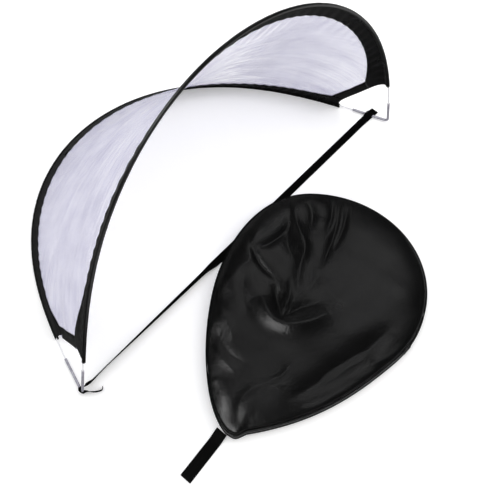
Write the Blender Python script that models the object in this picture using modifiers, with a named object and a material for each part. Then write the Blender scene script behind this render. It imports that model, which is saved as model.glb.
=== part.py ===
"""Pop-up goal net: two sprung rods stand a mesh sheet up over a webbing ground strap,
and a round zipped carry bag lies beside it.

Metres, +Z up. The origin is on the floor, at the middle of the footprint.
X runs along the mouth, +Y goes back over the rear arch, and the floor is z = 0.
"""

import math

import bmesh
import bpy
import numpy as np
from mathutils import Vector

# ---- driving dimensions ----
mouth_width = 1.200            # between the two corners, where the leg axes cross
corner_y = -0.0515             # the corner line, in front of the middle of the footprint
front_rise = math.radians(79.96)  # angle at which the front rod leaves the corner
front_lean = math.radians(2.26)   # how far the front arch leans back over the net
front_bow = 0.0142             # the net draws its crown back, so its legs bow this far to the front
front_skew = 0.0233            # and the right side stands this far further to the front
rear_rise = math.radians(71)   # angle at which the rear rod leaves the corner, on the floor

rod_diameter = 0.0045
tube_diameter = 0.0070
tube_wall = 0.0009
tube_bend_radius = 0.0120
front_leg = 0.095              # tube from the corner to the mouth that takes the front rod
rear_leg = 0.108
rod_insert = 0.060             # how far a rod is pushed into its tube

bare_front = (0.128, 0.190)    # from each corner to the fabric on the front rod: left, right
bare_rear = (0.172, 0.148)     # the same on the rear rod
front_band = 0.059             # black band from the front rod's axis to its inner edge
rear_band = 0.048
hem_width = 0.055
net_tuck = 0.25                # share of each band's width that grips the net
net_sag = 0.047                # how far the net is drawn in at mid span
end_draw = 0.037               # how far its cut ends are drawn in half way between the rods
net_inset = 0.002              # the net's cut edge lies this far inside its folded hem

fabric = 0.0005                # band and hem cloth
net_cloth = 0.0004
pocket_radius = 0.0050         # outside radius of the pocket round a rod
webbing = 0.0012
strap_width = 0.022
strap_overlap = 0.040          # doubled, sewn end of the ground strap
strap_seat = 0.057             # from the right corner to the strap's loop, on the rear leg
strap_fold = 0.0190            # how far that loop reaches past the leg's axis
strap_twist = math.radians(66)   # the strap stands this far out of flat at its left end
strap_flat_from = -0.080       # the bag's edge holds the strap flat from here to the right
strap_untwist = 0.070          # it turns flat over this length
strap_widen = 0.060            # it spreads to its full width over this length
gather_width = 0.010           # the strap's width where it is bunched round the left bend
tail_tip = (0.046, -0.024)     # free tail of that gather: its tip, fold and root, from the corner
tail_fold = (0.040, -0.030)
tail_root = (0.024, -0.022)

bag_centre = (0.0134, -0.2714)   # centre of the bag's round end
bag_radius = 0.295
round_from = math.radians(40.5)   # the round end runs clockwise from here to there
round_to = math.radians(-95.7)
bag_foot = (-0.4187, -0.1540)  # lower corner of the blunt end, from the bag's centre
bag_brow = (-0.4506, -0.1187)  # its upper corner
bag_shoulder = (-0.1959, 0.1705)   # where the upper edge swells out into the round end
round_to_pull = 0.1288         # the outline's curves leave their ends along these
foot_pull = (0.1408, -0.1057)
blunt_foot_pull = (-0.030, 0.012)
blunt_brow_pull = (0.004, -0.030)
brow_pull = (0.012, 0.080)
shoulder_pull = (0.1328, 0.0875)
round_from_pull = 0.1504
bag_depth = 0.022              # height of the gusset wall
bag_lift_edge = 0.007          # the soft bottom edge curls up this far from the floor
bag_crown = 0.018              # how far the top panel domes over its seam
bag_cloth = 0.0008
piping_diameter = 0.0036
handle_width = 0.032
handle_length = 0.146
handle_up = 0.012              # the hand strap's root, back from the outermost point of the blunt end
handle_drop = 0.030            # it comes down to the floor over this length
handle_turn = math.radians(7.5)   # it lies turned this far towards the front

zip_from = math.radians(-93)   # the zip runs over this stretch of the round end
zip_to = math.radians(38)
zip_height = 0.0050
zip_thickness = 0.0016
slider_at = math.radians(-88)
slider_length = 0.0090
slider_height = 0.0092
slider_skin = 0.0016
ear_length = 0.0028
ear_root = 0.0010              # how far the ears are sunk into the slider
eye_wall = 0.0007
pull_length = 0.024
pull_width = 0.0056
pull_thickness = 0.0012
pin_diameter = 0.0012

# ---- clearances ----
gap = 0.0003                   # between touching pieces
net_gap = 0.00045              # between the net and the cloth that grips it
slide_gap = 0.0004             # between the slider and its chain
pin_gap = 0.0002               # between the pull's eye and its pin
pin_hole_gap = 0.0001

# ---- fineness ----
arch_steps = 40
net_steps = 9
outline_steps = 48

LEFT, RIGHT = 0, 1


# ---------------------------------------------------------------- helpers

def clear_scene():
    for item in list(bpy.data.objects):
        bpy.data.objects.remove(item, do_unlink=True)


def new_collection(name):
    collection = bpy.data.collections.new(name)
    bpy.context.scene.collection.children.link(collection)
    return collection


def finish(name, colour, roughness, metallic=0.0):
    material = bpy.data.materials.new(name)
    material.use_nodes = True
    shader = material.node_tree.nodes["Principled BSDF"]
    shader.inputs["Base Color"].default_value = (*colour, 1.0)
    shader.inputs["Roughness"].default_value = roughness
    shader.inputs["Metallic"].default_value = metallic
    return material


def add_object(name, data, material, collection):
    item = bpy.data.objects.new(name, data)
    collection.objects.link(item)
    item.data.materials.append(material)
    return item


def smooth(mesh, angle=35):
    mesh.shade_smooth()
    mesh.set_sharp_from_angle(angle=math.radians(angle))


def sheet(name, place, columns, rows, thickness, material, collection, closed=False, even=True):
    """A cloth sheet: a grid whose vertex (i, j) goes to place(i, j), given a thickness."""
    bm = bmesh.new()
    bmesh.ops.create_grid(bm, x_segments=columns, y_segments=rows, size=1)
    for vert in bm.verts:
        i = round((vert.co.x + 1) / 2 * columns)
        j = round((vert.co.y + 1) / 2 * rows)
        vert.co = place(i, j)
    if closed:
        bmesh.ops.remove_doubles(bm, verts=bm.verts, dist=0.00005)
    bmesh.ops.recalc_face_normals(bm, faces=bm.faces)
    mesh = bpy.data.meshes.new(name)
    bm.to_mesh(mesh)
    bm.free()
    item = add_object(name, mesh, material, collection)
    thicken(item, thickness, even)
    return item


def thicken(item, thickness, even=True):
    solid = item.modifiers.new("cloth", "SOLIDIFY")
    solid.thickness = thickness
    solid.offset = 0
    solid.use_even_offset = even
    solid.thickness_clamp = 1.0
    smooth(item.data)


def rod(name, points, radius, material, collection, ball_ends=False):
    """A round rod along points; ball ends are centred on the first and last points."""
    path = [Vector(p) for p in points]
    sizes = [1.0] * len(path)
    if ball_ends:
        ball = [math.radians(a) for a in (12, 40, 65)]
        first = (path[1] - path[0]).normalized() * radius
        last = (path[-1] - path[-2]).normalized() * radius
        head = [path[0] - first * math.cos(a) for a in ball]
        tail = [path[-1] + last * math.cos(a) for a in reversed(ball)]
        caps = [math.sin(a) for a in ball]
        path = head + path + tail
        sizes = caps + sizes + caps[::-1]
    curve = bpy.data.curves.new(name, "CURVE")
    curve.dimensions = "3D"
    curve.bevel_depth = radius
    curve.bevel_resolution = 2
    curve.use_fill_caps = True
    spline = curve.splines.new("POLY")
    spline.points.add(len(path) - 1)
    for point, place, size in zip(spline.points, path, sizes):
        point.co = (*place, 1)
        point.radius = size
    return add_object(name, curve, material, collection)


def to_mesh_object(item):
    """Turns a curve into a mesh object with its caps welded."""
    graph = bpy.context.evaluated_depsgraph_get()
    mesh = bpy.data.meshes.new_from_object(item.evaluated_get(graph))
    bm = bmesh.new()
    bm.from_mesh(mesh)
    bmesh.ops.remove_doubles(bm, verts=bm.verts, dist=0.00002)
    bmesh.ops.recalc_face_normals(bm, faces=bm.faces)
    bm.to_mesh(mesh)
    bm.free()
    name, collection = item.name, item.users_collection[0]
    solid = bpy.data.objects.new(name, mesh)
    solid.matrix_world = item.matrix_world
    bpy.data.objects.remove(item, do_unlink=True)
    solid.name = name
    collection.objects.link(solid)
    return solid


def cut(item, cutter, operation="DIFFERENCE"):
    step = item.modifiers.new(cutter.name, "BOOLEAN")
    step.operation = operation
    step.solver = "EXACT"
    step.object = cutter


def as_cutter(item):
    item.hide_render = True
    item.display_type = "WIRE"
    return item


def box(name, size, place, turn, material, collection):
    """A box of the given size, centred on place and turned about Z."""
    bm = bmesh.new()
    bmesh.ops.create_cube(bm, size=1)
    bmesh.ops.scale(bm, vec=size, verts=bm.verts)
    mesh = bpy.data.meshes.new(name)
    bm.to_mesh(mesh)
    bm.free()
    item = add_object(name, mesh, material, collection)
    item.location = place
    item.rotation_euler = (0, 0, turn)
    return item


def cylinder(name, radius, length, place, material, collection, sides=16):
    bm = bmesh.new()
    bmesh.ops.create_cone(bm, cap_ends=True, segments=sides, radius1=radius, radius2=radius, depth=length)
    mesh = bpy.data.meshes.new(name)
    bm.to_mesh(mesh)
    bm.free()
    smooth(mesh)
    item = add_object(name, mesh, material, collection)
    item.location = place
    return item


# ---------------------------------------------------------------- the sprung arches

rod_radius = rod_diameter / 2
tube_radius = tube_diameter / 2
axis_height = tube_radius + gap + webbing     # the webbing loops pass under the tubes


def bent_rod(rise, samples=1200):
    """Half of a rod sprung between two corners: length, run and height along it.

    A thin rod pushed together at its ends takes the shape whose curvature grows with
    its height over the line between the ends.
    """
    phi = np.linspace(0, math.pi / 2, samples)
    cos_slope = math.cos(rise) + (1 - math.cos(rise)) * np.sin(phi) ** 2
    rate = 1 / np.sqrt((1 - math.cos(rise)) * (1 + cos_slope))
    step = phi[1] - phi[0]

    def total(values):
        return np.concatenate([[0], np.cumsum((values[1:] + values[:-1]) / 2) * step])

    run = total(rate * cos_slope)
    scale = mouth_width / 2 / run[-1]
    return total(rate) * scale, run * scale, np.sin(phi) * scale


class Arch:
    """The axis of one rod, read by the distance from its left corner."""

    def __init__(self, rise, leg, slope, bow=0.0, skew=0.0):
        """slope is the angle of the arch's plane over the floor behind it."""
        self.length_half, self.run, self.height = bent_rod(rise)
        self.length = 2 * self.length_half[-1]
        self.leg = leg
        self.slope = slope
        self.bow = bow
        self.skew = skew

    def flat(self, s):
        from_corner = min(s, self.length - s)
        run = np.interp(from_corner, self.length_half, self.run)
        height = np.interp(from_corner, self.length_half, self.height)
        if from_corner < self.leg:              # straight inside the corner tube
            share = from_corner / self.leg
            run = share * np.interp(self.leg, self.length_half, self.run)
            height = share * np.interp(self.leg, self.length_half, self.height)
        side = -1 if s < self.length / 2 else 1
        return side * (mouth_width / 2 - run), height

    def forward(self, x, h):
        """How far the rod stands out of its plane to the front; the legs in the tubes stay straight."""
        share = h / self.height[-1]
        return self.bow * 4 * share * (1 - share) + self.skew * x / (mouth_width / 2) * share

    def point(self, s):
        x, h = self.flat(s)
        ahead = self.forward(x, h)
        if min(s, self.length - s) < self.leg:
            leg_x, leg_h = self.flat(self.leg if s < self.length / 2 else self.length - self.leg)
            ahead = self.forward(leg_x, leg_h) * h / leg_h
        y = corner_y + h * math.cos(self.slope) - ahead
        return Vector((x, y, axis_height + h * math.sin(self.slope)))

    def tangent(self, s, reach=0.004):
        low = max(s - reach, 0)
        high = min(s + reach, self.length)
        return (self.point(high) - self.point(low)).normalized()

    def inward(self, s):
        """In the plane of the arch, square to the rod, towards its inside."""
        plane = Vector((0, math.sin(self.slope), -math.cos(self.slope)))
        return plane.cross(self.tangent(s)).normalized()


front = Arch(front_rise, front_leg, math.pi / 2 - front_lean, front_bow, front_skew)
rear = Arch(rear_rise, rear_leg, 0)
front_length = front.length - sum(bare_front)


def corner(side):
    return Vector(((-1, 1)[side] * mouth_width / 2, corner_y, axis_height))


def leg_direction(arch, side):
    s = arch.leg if side == LEFT else arch.length - arch.leg
    return (arch.point(s) - corner(side)).normalized()


# ---------------------------------------------------------------- the fabric surface

def arch_place(arch, bare, u):
    return bare[LEFT] + u * (arch.length - bare[LEFT] - bare[RIGHT])


def net_surface(u, v):
    """The cloth between the rods: u runs left to right, v from the front rod to the rear one."""
    u += end_draw / front_length * (1 - (2 * v - 1) ** 4) * ((1 - u) ** 6 - u ** 6)
    a = front.point(arch_place(front, bare_front, u))
    b = rear.point(arch_place(rear, bare_rear, u))
    middle = (a + b) / 2 - Vector((0, corner_y, axis_height))
    draw = -Vector((0, middle.y, middle.z)).normalized()
    depth = net_sag * math.sin(math.pi * min(max(u, 0), 1)) ** 0.8
    return a + (b - a) * v + draw * 4 * depth * v * (1 - v)


def net_normal(u, v, reach=0.004):
    du = net_surface(u + reach, v) - net_surface(u - reach, v)
    dv = net_surface(u, v + reach) - net_surface(u, v - reach)
    return du.cross(dv).normalized()


def cloth_span(u, at_front):
    """Length of cloth per unit of v beside one rod."""
    step = 0.002
    if at_front:
        return (net_surface(u, step) - net_surface(u, 0)).length / step
    return (net_surface(u, 1) - net_surface(u, 1 - step)).length / step


def band_v(u, at_front, distance):
    """The v of a line at this distance from a rod's axis."""
    share = distance / cloth_span(u, at_front)
    return share if at_front else 1 - share


hem_u = hem_width / front_length
stations = [0, hem_u] + [hem_u + (1 - 2 * hem_u) * i / (arch_steps - 2) for i in range(1, arch_steps - 2)]
stations += [1 - hem_u, 1]


# ---------------------------------------------------------------- pieces of the goal

def make_rods(finishes, goal):
    """Two fibreglass rods; short ends of the front rod stay in the tubes, at its flexing point."""
    white = finishes["fibreglass"]
    inside = rear_leg - rod_insert
    free = [arch_place(rear, bare_rear, u) for u in stations]
    path = [inside, rear_leg] + free + [rear.length - rear_leg, rear.length - inside]
    rod("rear_arch_rod", [rear.point(s) for s in path], rod_radius, white, goal)

    free = [arch_place(front, bare_front, u) for u in stations]
    start = front_leg + rod_radius + gap
    path = [start] + free + [front.length - start]
    rod("front_arch_rod", [front.point(s) for s in path], rod_radius, white, goal, ball_ends=True)

    for side, name in ((LEFT, "front_rod_stub_left"), (RIGHT, "front_rod_stub_right")):
        along = leg_direction(front, side)
        ends = [corner(side) + along * (front_leg - rod_insert), corner(side) + along * front_leg]
        rod(name, ends, rod_radius, white, goal)


def bend_path(side, front_reach, rear_reach):
    """The axis of a corner tube: up its front leg, round the bend, out along its rear leg."""
    up, back = leg_direction(front, side), leg_direction(rear, side)
    opening = up.angle(back)
    setback = tube_bend_radius / math.tan(opening / 2)
    inner = (up + back).normalized() * (tube_bend_radius / math.sin(opening / 2))
    start, end = (up * setback - inner).normalized(), (back * setback - inner).normalized()
    turns = 6
    path = [corner(side) + up * front_reach]
    for i in range(turns + 1):
        path.append(corner(side) + inner + start.slerp(end, i / turns) * tube_bend_radius)
    path.append(corner(side) + back * rear_reach)
    return path


def make_corner_tubes(finishes, goal, cutters):
    steel = finishes["steel"]
    for side, name in ((LEFT, "corner_tube_left"), (RIGHT, "corner_tube_right")):
        tube = to_mesh_object(rod(name, bend_path(side, front_leg, rear_leg), tube_radius, steel, goal))
        past = 0.002
        path = bend_path(side, front_leg + past, rear_leg + past)
        bore = to_mesh_object(rod(name + "_bore", path, tube_radius - tube_wall, steel, cutters))
        cut(tube, as_cutter(bore))
        smooth(tube.data)


def pocket_section(arch, at_front, s, u, width):
    """Hairpin of cloth: in along one face of the band, round the rod, and back along the other."""
    across = arch.tangent(s)
    toward = net_surface(u, 0.02) - net_surface(u, 0) if at_front else net_surface(u, 0.98) - net_surface(u, 1)
    toward = (toward - across * toward.dot(across)).normalized()
    sidewise = toward.cross(across).normalized()
    middle_radius = pocket_radius - fabric / 2
    facet = math.radians(45)
    wall = middle_radius * math.cos(facet / 2) - fabric / 2      # clear inside of the faceted pocket
    centre = arch.point(s) + arch.inward(s) * (wall - rod_radius - gap)
    layer = net_cloth / 2 + net_gap + fabric / 2

    def face(distance, sign):
        v = band_v(u, at_front, distance)
        normal = net_normal(u, v)
        if normal.dot(sidewise) * sign < 0:
            normal = -normal
        return net_surface(u, v) + normal * layer

    lines = [width, width * (1 - net_tuck), pocket_radius * 2.2]
    round_rod = [facet * k for k in range(1, 8)]
    points = [face(d, 1) for d in lines]
    points += [centre + (toward * math.cos(a) + sidewise * math.sin(a)) * middle_radius for a in round_rod]
    points += [face(d, -1) for d in reversed(lines)]
    return points


def make_sleeve(name, arch, bare, at_front, width, material, goal):
    sections = [pocket_section(arch, at_front, arch_place(arch, bare, u), u, width) for u in stations]
    columns, rows = len(stations) - 1, len(sections[0]) - 1
    sheet(name, lambda i, j: sections[i][j], columns, rows, fabric, material, goal)


def make_net(finishes, goal):
    ends = net_inset / front_length

    def place(i, j):
        u = min(max(stations[i], ends), 1 - ends)
        inner_front = band_v(u, True, front_band)
        inner_rear = band_v(u, False, rear_band)
        lines = [inner_front * (1 - net_tuck)]
        lines += [inner_front + (inner_rear - inner_front) * k / net_steps for k in range(net_steps + 1)]
        lines += [1 - (1 - inner_rear) * (1 - net_tuck)]
        return net_surface(u, lines[j])

    sheet("net_panel", place, len(stations) - 1, net_steps + 2, net_cloth, finishes["mesh"], goal)


def make_hems(finishes, goal):
    """A folded strip over each cut end of the net, between the two bands."""
    layer = net_cloth / 2 + net_gap + fabric / 2
    fold = 0.0008 / front_length
    section = [(hem_u, layer), (0, layer), (-fold, 0), (0, -layer), (hem_u, -layer)]
    for name, turned in (("hem_left", False), ("hem_right", True)):

        def place(i, j):
            inset, lift = section[j]
            u = 1 - inset if turned else inset
            low = band_v(u, True, front_band + gap)
            high = band_v(u, False, rear_band + gap)
            v = low + (high - low) * i / net_steps
            return net_surface(u, v) + net_normal(u, v) * lift

        sheet(name, place, net_steps, len(section) - 1, fabric, finishes["cloth"], goal)


# ---------------------------------------------------------------- the ground strap

def right_loop():
    """The right end, doubled back over the rear leg and sewn: its centre line from the sewn tip."""
    seat = corner(RIGHT) + leg_direction(rear, RIGHT) * strap_seat
    over = tube_radius + gap + webbing / 2
    low = webbing / 2 - axis_height
    top = low + webbing + gap
    skew = abs(math.tan(math.pi / 2 - rear_rise)) * strap_width / 2
    fold = strap_fold
    profile = [(strap_overlap, top), (skew + over * 3, top), (skew + over * 1.5, over * 0.15), (skew + over * 0.4, over)]
    profile += [(-skew - over * 0.4, over), (-skew - over * 1.5, over * 0.15), (-fold + webbing, top)]
    profile += [(-fold, (low + top) / 2), (-fold + webbing, low), (skew + over * 3, low), (strap_overlap, low)]
    across = Vector((0, 1, 0))
    return [(seat + Vector((-run, 0, lift)), across, strap_width) for run, lift in profile]


def left_loop():
    """The left end, gathered and passed round the bend itself, with its free tail in front."""
    up, back = leg_direction(front, LEFT), leg_direction(rear, LEFT)
    across = (back - up).normalized()
    out = (up + back).normalized()
    ahead = across.cross(out).normalized()
    if ahead.x < 0:
        ahead = -ahead
    depth = tube_bend_radius / math.sin(up.angle(back) / 2) - tube_bend_radius
    middle = corner(LEFT) + out * depth
    side = tube_radius + 4 * gap + webbing / 2
    swell = gather_width / 2 * math.tan(up.angle(back) / 2)      # the bend's legs run this far off square
    centre = middle + out * swell / 2
    tall = side + swell / 2
    line = []
    for x, y in (tail_tip, tail_fold, tail_root):
        place = corner(LEFT) + Vector((x, y, 0))
        line.append((Vector((place.x, place.y, webbing / 2 + gather_width / 2)), Vector((0, -0.25, 1)).normalized()))
    line.append((centre + ahead * side * 1.6 - out * tall * 0.85, across))
    for a in (255, 230, 205, 180, 155, 130, 105, 85):
        turn = math.radians(a)
        line.append((centre + ahead * side * math.cos(turn) + out * tall * math.sin(turn), across))
    line.append((centre + ahead * side * 2.2 + out * tall * 0.9, across))
    line = [(p, w if w.z < 0 else -w, gather_width) for p, w in line]
    return line


def strap_turn(x, start, end):
    """Twist of the taut strap out of flat at x: nearly on edge at the left corner, flat from the bag on."""
    return -strap_twist * (1 - (x - start) / (end - start)) * smooth_step((strap_flat_from - x) / strap_untwist)


def make_ground_strap(finishes, goal):
    left, right = left_loop(), right_loop()
    start, end = left[-1][0], right[-1][0]
    first_turn = math.atan2(left[-1][1].z, left[-1][1].y)
    run = []
    steps = 30
    for i in range(1, steps):
        t = i / steps
        x = start.x + (end.x - start.x) * t
        wider = smooth_step((x - start.x) / strap_widen)
        flat = smooth_step((end.x - x) / strap_widen)
        turn = first_turn + (strap_turn(x, start.x, end.x) - first_turn) * wider
        turn *= flat
        width = gather_width + (strap_width - gather_width) * wider
        y = start.y + (end.y - start.y) * t
        z = max(start.z * (1 - wider), webbing / 2 + width / 2 * abs(math.sin(turn)))
        run.append((Vector((x, y, z)), Vector((0, math.cos(turn), math.sin(turn))), width))
    line = left + run + right[::-1]

    def place(i, j):
        middle, across, width = line[i]
        return middle + across * width * (j - 0.5)

    sheet("ground_strap", place, len(line) - 1, 1, webbing, finishes["webbing"], goal, even=False)


def smooth_step(t):
    t = min(max(t, 0), 1)
    return t * t * (3 - 2 * t)


# ---------------------------------------------------------------- the carry bag

def bezier(a, b, c, d, steps):
    """Points of a cubic from a to d, without its last one."""
    points = []
    for i in range(steps):
        t = i / steps
        points.append(a * (1 - t) ** 3 + b * 3 * t * (1 - t) ** 2 + c * 3 * t * t * (1 - t) + d * t ** 3)
    return points


def on_round(angle, radius=bag_radius):
    return Vector((bag_centre[0] + radius * math.cos(angle), bag_centre[1] + radius * math.sin(angle)))


def bag_outline():
    """Seam line of the bag: a round end, drawn in to a blunt end where the handle is sewn."""
    round_steps = outline_steps * 6 // 11
    side_steps = outline_steps // 5
    points = [on_round(round_from + (round_to - round_from) * i / round_steps) for i in range(round_steps)]
    low, high = on_round(round_to), on_round(round_from)
    centre = Vector(bag_centre)
    foot, brow, shoulder = (centre + Vector(place) for place in (bag_foot, bag_brow, bag_shoulder))
    leave = Vector((math.sin(round_to), -math.cos(round_to))) * round_to_pull
    arrive = Vector((math.sin(round_from), -math.cos(round_from))) * round_from_pull
    swell = Vector(shoulder_pull)
    points += bezier(low, low + leave, foot + Vector(foot_pull), foot, side_steps)
    points += bezier(foot, foot + Vector(blunt_foot_pull), brow + Vector(blunt_brow_pull), brow, 3)
    points += bezier(brow, brow + Vector(brow_pull), shoulder - swell, shoulder, side_steps)
    points += bezier(shoulder, shoulder + swell, high - arrive, high, side_steps)
    return points


def outward(points, i):
    ahead, behind = points[(i + 1) % len(points)], points[i - 1]
    along = (ahead - behind).normalized()
    return Vector((-along.y, along.x))


def ring_line(points, offset, z):
    moved = [p + outward(points, i) * offset for i, p in enumerate(points)]
    return [Vector((p.x, p.y, z)) for p in moved]


def panel(name, seam, centre, height, thickness, material, collection):
    """A closed outline filled with rings that step in to its centre, at height(share)."""
    shares = (1.0, 0.93, 0.78, 0.52, 0.26)
    bm = bmesh.new()
    rings = []
    for share in shares:
        ring = []
        for p in seam:
            place = centre + (p.xy - centre) * share
            ring.append(bm.verts.new((place.x, place.y, height(share))))
        rings.append(ring)
    for outer, inner in zip(rings, rings[1:]):
        for i in range(len(seam)):
            j = (i + 1) % len(seam)
            bm.faces.new((outer[i], outer[j], inner[j], inner[i]))
    middle = bm.verts.new((centre.x, centre.y, height(0)))
    for i in range(len(seam)):
        bm.faces.new((rings[-1][i], rings[-1][(i + 1) % len(seam)], middle))
    bmesh.ops.recalc_face_normals(bm, faces=bm.faces)
    mesh = bpy.data.meshes.new(name)
    bm.to_mesh(mesh)
    bm.free()
    item = add_object(name, mesh, material, collection)
    thicken(item, thickness)
    return item


def make_bag(finishes, goal):
    cloth = finishes["satin"]
    points = bag_outline()
    centre = Vector(bag_centre)
    bottom_seam = bag_lift_edge + bag_cloth / 2
    top_seam = bottom_seam + bag_depth
    piping_radius = piping_diameter / 2
    panel_edge = ring_line(points, -(bag_cloth + gap), 0)

    def top_height(share):
        return top_seam + bag_cloth / 2 + gap + bag_crown * (1 - share ** 2.4)

    def bottom_height(share):
        return bag_cloth / 2 + bag_lift_edge * smooth_step((share - 0.72) / 0.28)

    panel("bag_top_panel", panel_edge, centre, top_height, bag_cloth, cloth, goal)
    panel("bag_bottom_panel", panel_edge, centre, bottom_height, bag_cloth, cloth, goal)

    wall = [ring_line(points, -bag_cloth / 2, bottom_seam), ring_line(points, -bag_cloth / 2, top_seam)]
    count = len(points)
    sheet("bag_gusset", lambda i, j: wall[j][i % count], count, 1, bag_cloth, cloth, goal, closed=True)

    reach = piping_radius + gap
    for name, z in (("bag_piping_top", top_seam - piping_radius), ("bag_piping_bottom", bottom_seam + piping_radius)):
        line = rod(name, ring_line(points, reach, z), piping_radius, finishes["piping"], goal)
        line.data.splines[0].use_cyclic_u = True
        line.data.bevel_resolution = 1

    make_handle(points, finishes, goal)
    return bottom_seam + bag_depth / 2


def make_handle(points, finishes, goal):
    """A flat loop of webbing, folded at its far end, sewn into the blunt end of the bag."""
    tip = min(p.x for p in points)
    middle_y = next(p.y for p in points if p.x == tip) + handle_up
    start_x = tip - piping_diameter - 3 * gap
    lowest = webbing / 2
    layer = webbing + gap
    section = []
    for lift, order in ((0, 1), (1, -1)):
        leg = []
        for share in (0, 0.25, 0.5, 0.75, 1.0):
            fall = bag_lift_edge * (1 - smooth_step(share))
            leg.append((start_x - handle_drop * share, lowest + fall + lift * layer))
        leg.append((start_x - handle_length + layer, lowest + lift * layer))
        section += leg[::order]
        if lift == 0:
            section.append((start_x - handle_length, lowest + layer / 2))

    def place(i, j):
        x, z = section[i]
        return Vector((x, middle_y + (x - start_x) * math.tan(handle_turn) + handle_width * (j - 0.5), z))

    sheet("bag_hand_strap", place, len(section) - 1, 1, webbing, finishes["webbing"], goal)


def make_zip(middle, finishes, goal, cutters):
    """A zip along the round end: chain on the wall, slider over it, pull on its pin."""
    black, metal = finishes["zip"], finishes["dark_metal"]
    steps = 40
    inner = bag_radius + gap
    angles = [zip_from + (zip_to - zip_from) * i / steps for i in range(steps + 1)]
    half = zip_height / 2
    chain_middle = inner + zip_thickness / 2

    def place(i, j):
        p = on_round(angles[i], chain_middle)
        return Vector((p.x, p.y, middle + half * (2 * j - 1)))

    sheet("zip_chain", place, steps, 1, zip_thickness, black, goal)

    hub = add_empty("zip_path", (*bag_centre, middle), slider_at, goal)
    depth = gap + zip_thickness + slide_gap + slider_skin
    slider = box("zip_slider", (depth - gap, slider_length, slider_height), (0, 0, 0), 0, metal, goal)
    slider.parent = hub
    slider.location = (bag_radius + (depth + gap) / 2, 0, 0)
    channel_depth = gap + zip_thickness + slide_gap
    size = (channel_depth + gap, slider_length * 2, zip_height + 2 * slide_gap)
    channel = as_cutter(box("zip_channel", size, (0, 0, 0), 0, metal, cutters))
    channel.parent = hub
    channel.location = (bag_radius + (channel_depth - gap) / 2, 0, 0)
    cut(slider, channel)

    eye = pin_diameter / 2 + pin_gap + eye_wall
    pin_out = bag_radius + depth + eye + slide_gap
    ear_height = (slider_height - pull_width) / 2 - slide_gap
    ear_depth = eye + slide_gap + pin_diameter
    for sign in (-1, 1):
        size = (ear_depth + ear_root, ear_length, ear_height)
        lug = as_cutter(box(f"zip_ear_{'low' if sign < 0 else 'high'}", size, (0, 0, 0), 0, metal, cutters))
        lug.parent = hub
        z = sign * (slider_height - ear_height) / 2
        lug.location = (bag_radius + depth + (ear_depth - ear_root) / 2, 0, z)
        cut(slider, lug, "UNION")
    pin_reach = slider_height / 2 - ear_height / 2
    pin_hole = as_cutter(cylinder("zip_pin_hole", pin_diameter / 2 + pin_hole_gap, slider_height * 2, (0, 0, 0),
                                  metal, cutters))
    pin_hole.parent = hub
    pin_hole.location = (pin_out, 0, 0)
    cut(slider, pin_hole)
    pin = cylinder("zip_pull_pin", pin_diameter / 2, 2 * pin_reach + ear_height, (0, 0, 0), metal, goal)
    pin.parent = hub
    pin.location = (pin_out, 0, 0)

    pivot = add_empty("zip_pull_pivot", (pin_out, 0, 0), 0, goal)
    pivot.parent = hub
    barrel = cylinder("zip_pull", eye, pull_width, (0, 0, 0), metal, goal)
    barrel.parent = pivot
    tab = as_cutter(box("zip_pull_tab", (pull_thickness, pull_length, pull_width), (0, 0, 0), 0, metal, cutters))
    tab.parent = pivot
    tab.location = (0, pull_length / 2 + pin_diameter / 2 + pin_gap, 0)
    cut(barrel, tab, "UNION")
    hole = as_cutter(cylinder("zip_pull_hole", pin_diameter / 2 + pin_gap, pull_width * 2, (0, 0, 0), metal, cutters))
    hole.parent = pivot
    cut(barrel, hole)


def add_empty(name, place, turn, collection):
    item = bpy.data.objects.new(name, None)
    collection.objects.link(item)
    item.location = place
    item.rotation_euler = (0, 0, turn)
    return item


# ---------------------------------------------------------------- assembly

def main():
    clear_scene()
    goal = new_collection("popup_goal_net")
    cutters = new_collection("cutters")
    finishes = {
        "fibreglass": finish("white_fibreglass", (0.82, 0.82, 0.80), 0.35),
        "steel": finish("plated_steel", (0.45, 0.45, 0.47), 0.35, 1.0),
        "cloth": finish("black_polyester", (0.012, 0.012, 0.014), 0.5),
        "mesh": finish("white_mesh", (0.70, 0.69, 0.80), 0.7),
        "webbing": finish("black_webbing", (0.012, 0.012, 0.012), 0.8),
        "satin": finish("black_bag_nylon", (0.010, 0.010, 0.011), 0.35),
        "piping": finish("black_piping", (0.010, 0.010, 0.010), 0.5),
        "zip": finish("black_zip_coil", (0.015, 0.015, 0.015), 0.6),
        "dark_metal": finish("dark_zip_metal", (0.10, 0.10, 0.11), 0.4, 1.0),
    }
    make_rods(finishes, goal)
    make_corner_tubes(finishes, goal, cutters)
    make_sleeve("front_sleeve", front, bare_front, True, front_band, finishes["cloth"], goal)
    make_sleeve("rear_sleeve", rear, bare_rear, False, rear_band, finishes["cloth"], goal)
    make_net(finishes, goal)
    make_hems(finishes, goal)
    make_ground_strap(finishes, goal)
    zip_line = make_bag(finishes, goal)
    make_zip(zip_line, finishes, goal, cutters)


main()
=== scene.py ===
import math

import bmesh
import bpy
import numpy as np
from mathutils import Matrix, Vector


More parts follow.
